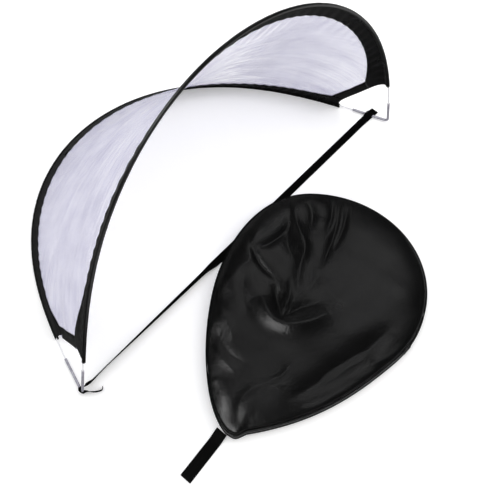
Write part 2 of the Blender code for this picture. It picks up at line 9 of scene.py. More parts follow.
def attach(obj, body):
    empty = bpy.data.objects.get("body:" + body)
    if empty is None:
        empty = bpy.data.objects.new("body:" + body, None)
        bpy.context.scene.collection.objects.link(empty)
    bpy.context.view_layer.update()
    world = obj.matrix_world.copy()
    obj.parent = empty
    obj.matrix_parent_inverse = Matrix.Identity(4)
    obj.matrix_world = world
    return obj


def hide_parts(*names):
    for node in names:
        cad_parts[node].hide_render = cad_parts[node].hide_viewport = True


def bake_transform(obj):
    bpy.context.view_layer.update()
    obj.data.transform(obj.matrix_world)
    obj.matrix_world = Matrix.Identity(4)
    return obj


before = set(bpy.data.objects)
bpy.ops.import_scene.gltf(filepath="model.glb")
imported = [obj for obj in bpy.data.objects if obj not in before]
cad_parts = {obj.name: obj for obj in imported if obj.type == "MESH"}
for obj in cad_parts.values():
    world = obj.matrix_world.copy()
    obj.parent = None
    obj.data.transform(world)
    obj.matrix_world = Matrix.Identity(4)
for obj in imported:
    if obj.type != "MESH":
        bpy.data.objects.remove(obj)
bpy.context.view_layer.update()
print("frame loaded:", len(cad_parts), "nodes")

# what the whole goal is set out from, in metres and degrees
goal = {
    "mouthWidth": 1.200,        # between the corners
    "cornerY": -0.0515,
    "frontRise": 79.96,
    "frontLean": 2.26,          # the front arch leans this far back
    "frontBow": 0.0142,         # its legs bow this far to the front, and its right side stands further out
    "frontSkew": 0.0233,
    "rearRise": 71,
    "frontLeg": 0.095,          # straight stretch inside the corner tubes
    "rearLeg": 0.108,
    "rodInsert": 0.060,
    "bareFront": (0.128, 0.190),
    "bareRear": (0.172, 0.148),
    "frontBand": 0.059,
    "rearBand": 0.048,
    "hemWidth": 0.055,
    "netTuck": 0.25,            # share of a band's width that the net reaches in under it
    "netInset": 0.002,          # its cut ends stop this far inside the hems' folds
    "netSag": 0.047,
    "endDraw": 0.037,           # how far the net's cut ends are drawn in between the rods
    "gap": 0.0003,
    "netGap": 0.00045,
}


# ---- small helpers

def linearColour(hexText):
    parts = [int(hexText[k:k + 2], 16) / 255 for k in (1, 3, 5)]
    return tuple(p / 12.92 if p <= 0.04045 else ((p + 0.055) / 1.055) ** 2.4 for p in parts) + (1.0,)


def feed(tree, node, links):
    for key, (source, output) in dict(links).items():
        tree.links.new(source.outputs[output], node.inputs[key])


def addNode(tree, kind, settings=(), links=()):
    node = tree.nodes.new("ShaderNode" + kind)
    for key, value in dict(settings).items():
        if isinstance(key, int) or key in node.inputs:
            node.inputs[key].default_value = value
        else:
            setattr(node, key, value)
    feed(tree, node, links)
    return node


def addRamp(tree, source, low, high):
    # low and high are each a place on the ramp and the colour there
    node = addNode(tree, "ValToRGB", (), {"Fac": source})
    for element, (place, colour) in zip(node.color_ramp.elements, (low, high)):
        element.position = place
        element.color = linearColour(colour)
    return node


def addPatches(tree, coords, scale, detail=3.0):
    # uneven patches, so many to a metre
    return addNode(tree, "TexNoise", {"Scale": scale, "Detail": detail}, {"Vector": (coords, "Object")})


def addStreaks(tree, coords, along, across, detail):
    # noise drawn out along the UV map
    place = addNode(tree, "Mapping", {"Scale": (along, across, 1)}, {"Vector": (coords, "UV")})
    return addNode(tree, "TexNoise", {"Scale": 1.0, "Detail": detail}, {"Vector": (place, 0)})


def newMaterial(name, settings):
    material = bpy.data.materials.new(name)
    material.use_nodes = True
    tree = material.node_tree
    shader = tree.nodes["Principled BSDF"]
    for key, value in settings.items():
        shader.inputs[key].default_value = value
    return material, tree, shader


def dressPiece(piece, material, body=None, stands=()):
    piece.data.materials.clear()
    piece.data.materials.append(material)
    if body:
        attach(piece, body)
    if stands:
        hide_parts(*stands)
    return piece


def newPiece(name, bm, smooth=True):
    mesh = bpy.data.meshes.new(name)
    bm.to_mesh(mesh)
    bm.free()
    piece = bpy.data.objects.new(name, mesh)
    bpy.context.scene.collection.objects.link(piece)
    if smooth:
        mesh.shade_smooth()
    return piece


def settle(piece):
    # modifiers become the mesh itself
    graph = bpy.context.evaluated_depsgraph_get()
    mesh = bpy.data.meshes.new_from_object(piece.evaluated_get(graph), preserve_all_data_layers=True,
                                           depsgraph=graph)
    piece.modifiers.clear()
    piece.data = mesh
    return piece


def unit(vectors):
    return vectors / np.maximum(np.linalg.norm(vectors, axis=-1, keepdims=True), 1e-12)


def smoothStep(t):
    t = np.clip(t, 0, 1)
    return t * t * (3 - 2 * t)


def runLengths(points):
    # distance along a row of points
    steps = np.linalg.norm(np.diff(points, axis=0), axis=-1)
    return np.concatenate([[0], np.cumsum(steps)])


def ripple(x, y, seed, waves=7):
    # soft uneven noise, about -1 to 1, a wave to each unit of x and y
    draw = np.random.default_rng(seed)
    total = 0
    for _ in range(waves):
        angle, pace, phase = draw.uniform(0, math.pi), draw.uniform(0.6, 1.7), draw.uniform(0, 2 * math.pi)
        total = total + np.sin(2 * math.pi * pace * (x * math.cos(angle) + y * math.sin(angle)) + phase)
    return total / math.sqrt(waves) / 1.4


def clothGrid(name, places, weave=None, share=None, closed=False, thickness=0, even=True):
    # a grid of cloth whose vertex (i, j) goes to places[i, j], with its weave in metres as its UV map
    columns, rows = places.shape[0] - 1, places.shape[1] - 1
    if weave is None:
        along = runLengths(places[:, rows // 2])
        across = runLengths(places[columns // 2])
        weave = np.stack(np.meshgrid(along, across, indexing="ij"), -1)
    bm = bmesh.new()
    bmesh.ops.create_grid(bm, x_segments=columns, y_segments=rows, size=1)
    uvLayer = bm.loops.layers.uv.new("weave")
    shareLayer = bm.verts.layers.float.new("share") if share is not None else None
    spot = {}
    for vert in bm.verts:
        spot[vert] = (round((vert.co.x + 1) / 2 * columns), round((vert.co.y + 1) / 2 * rows))
    for face in bm.faces:
        for loop in face.loops:
            loop[uvLayer].uv = weave[spot[loop.vert]]
    for vert, where in spot.items():
        vert.co = places[where]
        if shareLayer:
            vert[shareLayer] = share[where]
    if closed:
        bmesh.ops.remove_doubles(bm, verts=bm.verts, dist=0.00002)
    bmesh.ops.recalc_face_normals(bm, faces=bm.faces)
    piece = newPiece(name, bm)
    if thickness:
        solid = piece.modifiers.new("cloth", "SOLIDIFY")
        solid.thickness = thickness
        solid.offset = 0
        solid.use_even_offset = even
        solid.thickness_clamp = 1.0
        settle(piece)
    return piece


def tubeRings(points, radius, sides, radii=None):
    # rings of points round a path, with a steady frame carried along it
    points = np.asarray(points, float)
    tangents = unit(np.gradient(points, axis=0))
    sideways = np.cross(tangents[0], (0, 0, 1) if abs(tangents[0][2]) < 0.9 else (1, 0, 0))
    angles = np.linspace(0, 2 * math.pi, sides + 1)
    rings = []
    for k, tangent in enumerate(tangents):
        sideways = unit(sideways - tangent * np.dot(sideways, tangent))
        other = np.cross(tangent, sideways)
        reach = radius if radii is None else radii[k]
        circle = np.cos(angles)[:, None] * sideways + np.sin(angles)[:, None] * other
        rings.append(points[k] + reach * circle)
    return np.array(rings)


def between(p, q, start, end, t):
    # the place at t on a straight run from p at start to q at end
    return p * (end - t) / (end - start) + q * (t - start) / (end - start)


def throughPoints(rows, spacing):
    # a smooth line through rows whose first three numbers are a place; the others follow it
    rows = np.array(rows, float)
    padded = np.vstack([2 * rows[0] - rows[1], rows, 2 * rows[-1] - rows[-2]])
    fine = []
    for a, b, c, d in zip(padded, padded[1:], padded[2:], padded[3:]):
        chords = [np.linalg.norm((q - p)[:3]) ** 0.5 + 1e-6 for p, q in ((a, b), (b, c), (c, d))]
        t0, t1, t2, t3 = np.cumsum([0] + chords)
        count = max(1, math.ceil(np.linalg.norm((c - b)[:3]) / spacing))
        for t in np.linspace(t1, t2, count, endpoint=False):
            bc = between(b, c, t1, t2, t)
            abc = between(between(a, b, t0, t1, t), bc, t0, t2, t)
            bcd = between(bc, between(c, d, t2, t3, t), t1, t3, t)
            fine.append(between(abc, bcd, t1, t2, t))
    return np.array(fine + [rows[-1]])


stitch = {"pitch": 0.0045, "length": 0.0034, "thread": 0.00038, "lift": 0.0001}


def stitchRow(bm, places, normals, shareLayer=None, shares=None):
    # small rounded stitches laid along a line of places
    along = runLengths(places)
    size = Matrix.Diagonal((stitch["length"] / 2, stitch["thread"], stitch["thread"], 1))
    for s in np.arange(stitch["pitch"], along[-1] - stitch["pitch"], stitch["pitch"]):
        middle = Vector([np.interp(s, along, places[:, k]) for k in range(3)])
        ahead = Vector([np.interp(s + 0.001, along, places[:, k]) for k in range(3)]) - middle
        normal = Vector([np.interp(s, along, normals[:, k]) for k in range(3)]).normalized()
        ahead.normalize()
        sideways = normal.cross(ahead).normalized()
        turn = Matrix((ahead, sideways, normal)).transposed().to_4x4()
        at = Matrix.Translation(middle) @ turn @ size
        made = bmesh.ops.create_icosphere(bm, subdivisions=1, radius=1, matrix=at)
        if shareLayer:
            value = float(np.interp(s, along, shares))
            for vert in made["verts"]:
                vert[shareLayer] = value


# ---- camera and studio

camera = {
    "place": (-1.278, -1.2455, 2.579),
    "tilt": 34.0,
    "heading": -47.2,
    "lens": 83.23,               # in millimetres, as the sensor
    "sensor": 36.0,
}

cameraData = bpy.data.cameras.new("camera")
cameraData.lens = camera["lens"]
cameraData.sensor_width = camera["sensor"]
cameraData.clip_end = 60
cameraObject = bpy.data.objects.new("camera", cameraData)
cameraObject.location = camera["place"]
cameraObject.rotation_euler = (math.radians(camera["tilt"]), 0, math.radians(camera["heading"]))
bpy.context.scene.collection.objects.link(cameraObject)
bpy.context.scene.camera = cameraObject
bpy.context.scene.view_settings.view_transform = "Standard"

studio = {
    "floorColour": "#F2F2F2",
    "floorSize": 30,
    "floorDrop": 0.0004,
    "floorGlow": 0.24,           # lifts the floor to white for the camera, and leaves the shadow
    # what shiny pieces mirror of the floor: dim round the goal and the bag, bright far before and behind them
    "floorGloss": (0.03, 0.90),
    "floorMiddle": 0.50,         # the y of the dim stretch's middle, and where to either side it turns bright
    "floorReach": (0.80, 0.90),
    "skyColour": "#FFFFFF",
    "skyStrength": 1.06,
    # what they mirror of the sky: dim, and bright low down (by Z) behind the goal (by Y)
    "skyGloss": (0.03, 0.80),
    "skyLow": (0.02, 0.18),
    "skyBehind": (0.40, 0.75),
    "lamps": (
        # name, place, aim, width and height, watts
        # the key lamp gives only highlights, and the fill lamp gives none
        ("keyLamp", (-1.45, 0.45, 2.9), (-0.1, -0.2, 0.1), (2.2, 0.7), 44),
        ("softLamp", (1.5, 0.75, 2.9), (0.0, -0.2, 0.1), (1.6, 1.6), 8),
        ("fillLamp", (2.6, -2.4, 2.2), (0.0, -0.2, 0.2), (2.4, 2.4), 30),
    ),
}


def cameraSees(tree):
    path = addNode(tree, "LightPath")
    return path, addNode(tree, "Math", {"operation": "MAXIMUM"},
                         {0: (path, "Is Camera Ray"), 1: (path, "Is Transmission Ray")})


def makeFloor():
    bm = bmesh.new()
    bmesh.ops.create_grid(bm, x_segments=1, y_segments=1, size=studio["floorSize"] / 2)
    bmesh.ops.translate(bm, vec=(0, 0, -studio["floorDrop"]), verts=bm.verts)
    floor = newPiece("studioFloor", bm, smooth=False)
    # matt white sweep paper: it takes soft shadows and no gloss
    material, tree, shader = newMaterial("matt white paper", {"Roughness": 0.9, "Specular IOR Level": 0.1})
    path, seen = cameraSees(tree)
    place = addNode(tree, "SeparateXYZ", (), {0: (addNode(tree, "TexCoord"), "Object")})
    (near, far), (dim, bright) = studio["floorReach"], studio["floorGloss"]
    side = addNode(tree, "Math", {"operation": "SUBTRACT", 1: studio["floorMiddle"]}, {0: (place, "Y")})
    off = addNode(tree, "Math", {"operation": "ABSOLUTE"}, {0: (side, 0)})
    shown = addNode(tree, "MapRange", {1: near, 2: far, 3: dim, 4: bright}, {0: (off, 0)})
    tint = addNode(tree, "MapRange", {3: linearColour(studio["floorColour"])[0], 4: 0.0},
                   {0: (path, "Is Glossy Ray")})
    mirrored = addNode(tree, "Math", {"operation": "MULTIPLY"}, {0: (shown, 0), 1: (path, "Is Glossy Ray")})
    glow = addNode(tree, "Math", {"operation": "MULTIPLY_ADD", 1: studio["floorGlow"]},
                   {0: (seen, 0), 2: (mirrored, 0)})
    feed(tree, shader, {"Base Color": (tint, 0), "Emission Strength": (glow, 0)})
    shader.inputs["Emission Color"].default_value = (1, 1, 1, 1)
    floor.data.materials.append(material)


def makeSky():
    world = bpy.data.worlds.new("studio")
    bpy.context.scene.world = world
    world.use_nodes = True
    tree = world.node_tree
    background = tree.nodes["Background"]
    background.inputs["Color"].default_value = linearColour(studio["skyColour"])
    path, seen = cameraSees(tree)
    place = addNode(tree, "SeparateXYZ", (), {0: (addNode(tree, "TexCoord"), "Generated")})
    dim, bright = studio["skyGloss"]
    (bottom, top), (near, far) = studio["skyLow"], studio["skyBehind"]
    low = addNode(tree, "MapRange", {1: bottom, 2: top, 3: bright, 4: dim}, {0: (place, "Z")})
    shiny = addNode(tree, "MapRange", {1: near, 2: far, 3: dim}, {0: (place, "Y"), 4: (low, 0)})
    lit = addNode(tree, "MapRange", {3: studio["skyStrength"]},
                  {0: (path, "Is Glossy Ray"), 4: (shiny, 0)})
    strength = addNode(tree, "MapRange", {4: 1.0}, {0: (seen, 0), 3: (lit, 0)})
    feed(tree, background, {"Strength": (strength, 0)})


def makeLamps():
    for name, place, aim, (wide, high), watts in studio["lamps"]:
        lamp = bpy.data.lights.new(name, "AREA")
        lamp.shape = "RECTANGLE"
        lamp.size, lamp.size_y = wide, high
        lamp.energy = watts
        lampObject = bpy.data.objects.new(name, lamp)
        lampObject.location = place
        lampObject.visible_diffuse = name != "keyLamp"
        lampObject.visible_glossy = name != "fillLamp"
        lampObject.rotation_euler = (Vector(aim) - Vector(place)).to_track_quat("-Z", "Y").to_euler()
        bpy.context.scene.collection.objects.link(lampObject)


makeFloor()
makeSky()
makeLamps()
print("camera and studio set")


# ---- finishes

def makeFibreglass():
    # white polyester resin over lengthwise glass strands: dull gloss with fine draw lines
    material, tree, shader = newMaterial("pultruded white fibreglass", {"Roughness": 0.38, "IOR": 1.52})
    strands = addStreaks(tree, addNode(tree, "TexCoord"), 60, 2500, 3.0)
    colour = addRamp(tree, (strands, "Fac"), (0.30, "#E4E4E6"), (0.65, "#F8F8FA"))
    bump = addNode(tree, "Bump", {"Strength": 0.25, "Distance": 0.0001}, {"Height": (strands, "Fac")})
    feed(tree, shader, {"Base Color": (colour, 0), "Normal": (bump, 0)})
    return material


def makePlatedSteel():
    # bright zinc on a drawn tube: a cool grey with soft lengthwise draw lines and dull patches
    material, tree, shader = newMaterial("zinc plated drawn steel", {"Metallic": 0.35})
    coords = addNode(tree, "TexCoord")
    lines = addStreaks(tree, coords, 40, 1500, 2.0)
    patches = addPatches(tree, coords, 90.0)
    colour = addRamp(tree, (patches, "Fac"), (0.35, "#A4A2AE"), (0.70, "#C8C6D0"))
    rough = addNode(tree, "MapRange", {3: 0.22, 4: 0.42}, {0: (patches, "Fac")})
    bump = addNode(tree, "Bump", {"Strength": 0.2, "Distance": 0.00005}, {"Height": (lines, "Fac")})
    feed(tree, shader, {"Base Color": (colour, 0), "Roughness": (rough, 0), "Normal": (bump, 0)})
    return material


def wovenHeight(tree, coords, threadWidth):
    # plain weave: two sets of threads that pass over and under each other
    scale = 1 / (2 * threadWidth) / 3.1831       # a wave texture has 3.1831 bands to a unit
    warp, weft = (addNode(tree, "TexWave", {"wave_type": "BANDS", "bands_direction": way, "Scale": scale,
                                            "Distortion": 0.3, "Detail": 1.0}, {"Vector": (coords, "UV")})
                  for way in "XY")
    return addNode(tree, "Math", {"operation": "MULTIPLY"}, {0: (warp, "Fac"), 1: (weft, "Fac")})


def makeWovenCloth(name, low, high, thread, rough, gloss, crumple, depth, sheen=0.0):
    # colours of the low and high threads, where the low threads are painted darker as shade in the weave's
    # hollows, thread width, roughness range, gloss, and crumple size and depth
    material, tree, shader = newMaterial(name, {"Specular IOR Level": gloss, "Sheen Weight": sheen,
                                                "Sheen Roughness": 0.4})
    coords = addNode(tree, "TexCoord")
    weave = wovenHeight(tree, coords, thread)
    crumpled = addNode(tree, "TexNoise", {"Scale": 1 / crumple, "Detail": 4.0, "Roughness": 0.55},
                       {"Vector": (coords, "Object")})
    wear = addPatches(tree, coords, 9.0)
    # painted shade: the colour is darker where the weave is low, as if shade lay between the threads, mixed
    # with uneven patches of wear
    weaveShadeAndWear = addNode(tree, "Math", {"operation": "MULTIPLY_ADD", 1: 0.35}, {0: (weave, 0), 2: (wear, "Fac")})
    colour = addRamp(tree, (weaveShadeAndWear, 0), (0.35, low), (0.90, high))
    dull = addNode(tree, "MapRange", {3: rough[0], 4: rough[1]}, {0: (wear, "Fac")})
    creased = addNode(tree, "Bump", {"Strength": 1.0, "Distance": depth}, {"Height": (crumpled, "Fac")})
    bump = addNode(tree, "Bump", {"Strength": 0.5, "Distance": thread * 0.3},
                   {"Height": (weave, 0), "Normal": (creased, "Normal")})
    feed(tree, shader, {"Base Color": (colour, 0), "Roughness": (dull, 0), "Normal": (bump, 0)})
    return material


meshCloth = {
    "holePitch": (0.0036, 0.0030),   # drawn a little coarser than the real 2 mm mesh, so that it shows
    "thread": 0.0011,
    "colour": "#EFEEFD",
    # the darker colour, used both for the painted shade of fine creases and for uneven yarn
    "shade": "#D0CEE6",
}


def makeNetMesh():
    # warp knit: soft white thread round small staggered holes, so what is behind shows through
    material, tree, shader = newMaterial("knitted white polyester mesh", {
        "Roughness": 0.75, "Specular IOR Level": 0.25, "Sheen Weight": 0.1})
    coords = addNode(tree, "TexCoord")
    wide, high = meshCloth["holePitch"]
    holes = addNode(tree, "TexBrick", {
        "offset": 0.5, "Color1": (0, 0, 0, 1), "Color2": (0, 0, 0, 1), "Mortar": (1, 1, 1, 1),
        "Scale": 1.0, "Mortar Size": meshCloth["thread"] / 2, "Mortar Smooth": 0.35,
        "Brick Width": wide, "Row Height": high}, {"Vector": (coords, "UV")})
    cover = addNode(tree, "MapRange", {1: 0.15, 2: 0.45}, {0: (holes, "Fac")})
    yarn = addPatches(tree, coords, 14.0, 4.0)
    # painted shade: thin darker streaks drawn along the cloth stand in for its fine tension creases, and are
    # mixed with the uneven yarn
    paintedCreaseShade = addStreaks(tree, coords, 2.5, 170, 2.0)
    uneven = addNode(tree, "Mix", {"Factor": 0.5}, {2: (yarn, "Fac"), 3: (paintedCreaseShade, "Fac")})
    colour = addRamp(tree, (uneven, 0), (0.35, meshCloth["shade"]), (0.62, meshCloth["colour"]))
    bump = addNode(tree, "Bump", {"Strength": 0.5, "Distance": 0.0004}, {"Height": (holes, "Fac")})
    feed(tree, shader, {"Base Color": (colour, 0), "Alpha": (cover, 0), "Normal": (bump, 0)})
    return material


def makeZipMetal():
    # die-cast zinc under black enamel, worn to a dark grey sheen where it is handled
    material, tree, shader = newMaterial("black enamelled die-cast zinc", {"Metallic": 0.6})
    worn = addPatches(tree, addNode(tree, "TexCoord"), 420.0)
    colour = addRamp(tree, (worn, "Fac"), (0.45, "#161618"), (0.75, "#3A3A3E"))
    rough = addNode(tree, "MapRange", {3: 0.22, 4: 0.45}, {0: (worn, "Fac")})
    feed(tree, shader, {"Base Color": (colour, 0), "Roughness": (rough, 0)})
    return material


fibreglass = makeFibreglass()
platedSteel = makePlatedSteel()
netMesh = makeNetMesh()
zipMetal = makeZipMetal()
# smooth floats of thread give the satin a broad grey sheen where it turns to the lamp
bandSatin = makeWovenCloth("black satin polyester", "#020203", "#070708", thread=0.00055, rough=(0.24, 0.34),
                           gloss=0.60, crumple=0.030, depth=0.0006, sheen=0.04)
# coated pack cloth: black, crisp, with fine crumples left from folding
bagNylon = makeWovenCloth("black coated pack nylon", "#020202", "#080809", thread=0.00070, rough=(0.20, 0.30),
                          gloss=0.60, crumple=0.008, depth=0.0007)
# thick matt ribs across the strap
strapWebbing = makeWovenCloth("black polypropylene webbing", "#020202", "#070707", thread=0.0013,
                              rough=(0.55, 0.70), gloss=0.08, crumple=0.012, depth=0.0003)
sewingThread = makeWovenCloth("black sewing thread", "#060606", "#101011", thread=0.00030, rough=(0.45, 0.60),
                              gloss=0.15, crumple=0.006, depth=0.0001)
pipingCloth = makeWovenCloth("black piping cloth", "#020202", "#080808", thread=0.00050, rough=(0.40, 0.52),
                             gloss=0.14, crumple=0.010, depth=0.0003)
zipNylon = makeWovenCloth("black nylon zip coil", "#030303", "#0B0B0C", thread=0.00040, rough=(0.32, 0.42),
                          gloss=0.25, crumple=0.008, depth=0.0001)
print("finishes made")


# ---- the sprung rods, and the cloth stretched between them

rods = {
    "diameter": 0.0045,
    "sides": 16,
    "steps": 200,
    "cutEnd": (0.0002, 0.80, 1.0),     # the rear rod's first rings, in shares of its radius
    "domedEnd": (1, 25, 50, 72),       # the front rod's first rings, in degrees from its tip
}
tubes = {
    "diameter": 0.0070,
    "wall": 0.0009,
    "bendRadius": 0.0120,
    "sides": 24,
    "steps": 24,
    "lip": 0.00025,              # the open ends are eased by this
    "countersink": 0.0004,
    "well": 0.012,               # the bore shows this far in; the rods fill the rest
    "sharpFrom": 40,             # degrees
}
nearby = 0.004                   # a small step to either side, for slopes
webbing = 0.0012                 # its thickness
axisHeight = tubes["diameter"] / 2 + goal["gap"] + webbing


def bendRod(rise, leg, slope, bow=0, skew=0):
    # half a thin rod pushed together at its ends: its curvature grows with its height over the corners;
    # slope is the angle of its plane over the floor behind it
    phi = np.linspace(0, math.pi / 2, 1200)
    steep = math.cos(math.radians(rise))
    lean = steep + (1 - steep) * np.sin(phi) ** 2
    rate = 1 / np.sqrt((1 - steep) * (1 + lean))

    def total(values):
        return np.concatenate([[0], np.cumsum((values[1:] + values[:-1]) / 2) * (phi[1] - phi[0])])

    run = total(rate * lean)
    scale = goal["mouthWidth"] / 2 / run[-1]
    half = {"along": total(rate) * scale, "run": run * scale, "height": np.sin(phi) * scale}
    return {**half, "length": 2 * half["along"][-1], "leg": leg, "slope": math.radians(slope),
            "bow": bow, "skew": skew}


frontArch = bendRod(goal["frontRise"], goal["frontLeg"], 90 - goal["frontLean"], goal["frontBow"],
                    goal["frontSkew"])
rearArch = bendRod(goal["rearRise"], goal["rearLeg"], 0)


def archPoints(arch, s):
    s = np.asarray(s, float)
    inner = np.minimum(s, arch["length"] - s)
    share = np.minimum(inner / arch["leg"], 1)        # the legs are straight inside their tubes
    beyond = np.maximum(inner, arch["leg"])
    run = np.interp(beyond, arch["along"], arch["run"])
    height = np.interp(beyond, arch["along"], arch["height"])
    side = np.where(s < arch["length"] / 2, -1, 1)
    level = height / arch["height"][-1]
    x = side * (goal["mouthWidth"] / 2 - run)
    ahead = arch["bow"] * 4 * level * (1 - level) + arch["skew"] * x / (goal["mouthWidth"] / 2) * level
    back = height * math.cos(arch["slope"]) - ahead
    return np.stack([side * (goal["mouthWidth"] / 2 - run * share), goal["cornerY"] + back * share,
                     axisHeight + height * math.sin(arch["slope"]) * share], -1)


def archTangents(arch, s):
    s = np.asarray(s, float)
    before, after = np.maximum(s - nearby, 0), np.minimum(s + nearby, arch["length"])
    return unit(archPoints(arch, after) - archPoints(arch, before))


def archInward(arch, s):
    plane = (0, math.sin(arch["slope"]), -math.cos(arch["slope"]))
    return unit(np.cross(plane, archTangents(arch, s)))


def archPlace(atFront, u):
    arch, bare = (frontArch, goal["bareFront"]) if atFront else (rearArch, goal["bareRear"])
    return bare[0] + np.asarray(u) * (arch["length"] - bare[0] - bare[1])


netLength = frontArch["length"] - sum(goal["bareFront"])       # along the front rod


def netPlaces(u, v):
    # the stretched cloth: u from the left hem to the right one, v from the front rod to the rear one
    u, v = np.broadcast_arrays(np.asarray(u, float), np.asarray(v, float))
    draw = goal["endDraw"] / netLength
    u = u + draw * (1 - (2 * v - 1) ** 4) * ((1 - u) ** 6 - u ** 6)
    a = archPoints(frontArch, archPlace(True, u))
    b = archPoints(rearArch, archPlace(False, u))
    middle = (a + b) / 2 - np.array((0, goal["cornerY"], axisHeight))
    middle[..., 0] = 0
    depth = goal["netSag"] * np.sin(math.pi * np.clip(u, 0, 1)) ** 0.8
    return a + (b - a) * v[..., None] - unit(middle) * (4 * depth * v * (1 - v))[..., None]


def netNormals(u, v):
    u, v = np.broadcast_arrays(np.asarray(u, float), np.asarray(v, float))
    along = netPlaces(u + nearby, v) - netPlaces(u - nearby, v)
    across = netPlaces(u, v + nearby) - netPlaces(u, v - nearby)
    return unit(np.cross(along, across))


def bandV(u, atFront, distance):
    # the v of a line at this distance from a rod's axis
    step = 0.002
    near, far = (0, step) if atFront else (1, 1 - step)
    span = np.linalg.norm(netPlaces(u, far) - netPlaces(u, near), axis=-1) / step
    return distance / span if atFront else 1 - distance / span


def bandEdges(u, more=0):
    # the inner edges of the two bands, or lines so much further in
    return bandV(u, True, goal["frontBand"] + more), bandV(u, False, goal["rearBand"] + more)


netFolds = {
    # v of each tension fold, its drift along u, half width in v, height in metres,
    # the u that it is tallest at, and its reach in u
    "lines": (
        (0.115, 0.020, 0.0059, 0.0007, 0.40, 0.34),
        (0.160, -0.015, 0.0072, -0.0009, 0.36, 0.36),
        (0.205, 0.030, 0.0052, 0.0008, 0.46, 0.30),
        (0.262, 0.010, 0.0084, 0.0010, 0.42, 0.38),
        (0.318, -0.020, 0.0065, -0.0009, 0.50, 0.30),
        (0.372, 0.026, 0.0078, 0.0010, 0.44, 0.36),
        (0.440, -0.012, 0.0065, 0.0008, 0.52, 0.28),
        (0.505, 0.022, 0.0091, -0.0010, 0.46, 0.34),
        (0.580, -0.018, 0.0072, 0.0009, 0.50, 0.30),
        (0.655, 0.016, 0.0084, 0.0010, 0.47, 0.30),
        (0.735, -0.014, 0.0072, -0.0007, 0.44, 0.28),
    ),
    "broad": 0.0026,             # height of the slow swells between the folds
    "swells": (1.3, 4.0),        # how many of them along u and v
    "fade": (0.06, 0.10),        # folds die out this near to the hems and the bands
    "pucker": 0.0009,            # gathers beside the sewn bands
    "puckerPitch": 0.034,
    "puckerAt": 0.09,
    "puckerReach": 0.07,
    "puckerFade": 0.03,
}


def bothEnds(t, reach):
    # 1 in the middle of a span from 0 to 1, and falling to 0 within reach of its ends
    return smoothStep(t / reach) * smoothStep((1 - t) / reach)


def wrinkle(u, v):
    u, v = np.broadcast_arrays(np.asarray(u, float), np.asarray(v, float))
    inside = bothEnds(v, netFolds["fade"][1]) * bothEnds(u, netFolds["fade"][0])
    along, across = netFolds["swells"]
    height = netFolds["broad"] * ripple(u * along, v * across, 5) * inside
    for place, drift, width, tall, peak, reach in netFolds["lines"]:
        offset = v - place - drift * (u - 0.5)
        height = height + tall * np.exp(-(offset / width) ** 2 - ((u - peak) / reach) ** 2) * inside
    s = u * 1.6                              # about metres along the middle of the cloth
    beside = sum(np.exp(-((v - at) / netFolds["puckerReach"]) ** 2)
                 for at in (netFolds["puckerAt"], 1 - netFolds["puckerAt"]))
    gather = np.sin(2 * math.pi * s / netFolds["puckerPitch"] + 2.2 * ripple(s * 4, v, 11))
    return height + netFolds["pucker"] * gather * beside * bothEnds(u, netFolds["puckerFade"])


def clothPlaces(u, v, lift=0.0):
    return netPlaces(u, v) + netNormals(u, v) * (wrinkle(u, v) + lift)[..., None]


def makeRods():
    radius = rods["diameter"] / 2
    inside = goal["rearLeg"] - goal["rodInsert"]
    s = np.linspace(inside, rearArch["length"] - inside, rods["steps"])
    ends = radius * np.array(rods["cutEnd"])
    radii = np.full(len(s), radius)
    radii[:len(ends)], radii[-len(ends):] = ends, ends[::-1]
    rings = tubeRings(archPoints(rearArch, s), radius, rods["sides"], radii)
    piece = clothGrid("rearRod", rings, closed=True)
    dressPiece(piece, fibreglass, "rear_frame", ["rear_arch_rod"])

    start = goal["frontLeg"] + radius + goal["gap"]
    s = np.linspace(start, frontArch["length"] - start, rods["steps"])
    line = archPoints(frontArch, s)
    angles = np.radians(rods["domedEnd"])
    first, last = unit(line[1] - line[0]), unit(line[-1] - line[-2])
    head = [line[0] - first * radius * math.cos(a) for a in angles]
    tail = [line[-1] + last * radius * math.cos(a) for a in angles[::-1]]
    dome = radius * np.sin(angles)
    radii = np.concatenate([dome, np.full(len(s), radius), dome[::-1]])
    rings = tubeRings(np.vstack([head, line, tail]), radius, rods["sides"], radii)
    piece = clothGrid("frontRod", rings, closed=True)
    dressPiece(piece, fibreglass, "front_arch", ["front_arch_rod"])
    for side in ("left", "right"):
        dressPiece(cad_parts["front_rod_stub_" + side], fibreglass)


def corner(side):
    return np.array((side * goal["mouthWidth"] / 2, goal["cornerY"], axisHeight))


def legDirection(arch, side):
    s = arch["leg"] if side < 0 else arch["length"] - arch["leg"]
    return unit(archPoints(arch, s) - corner(side))


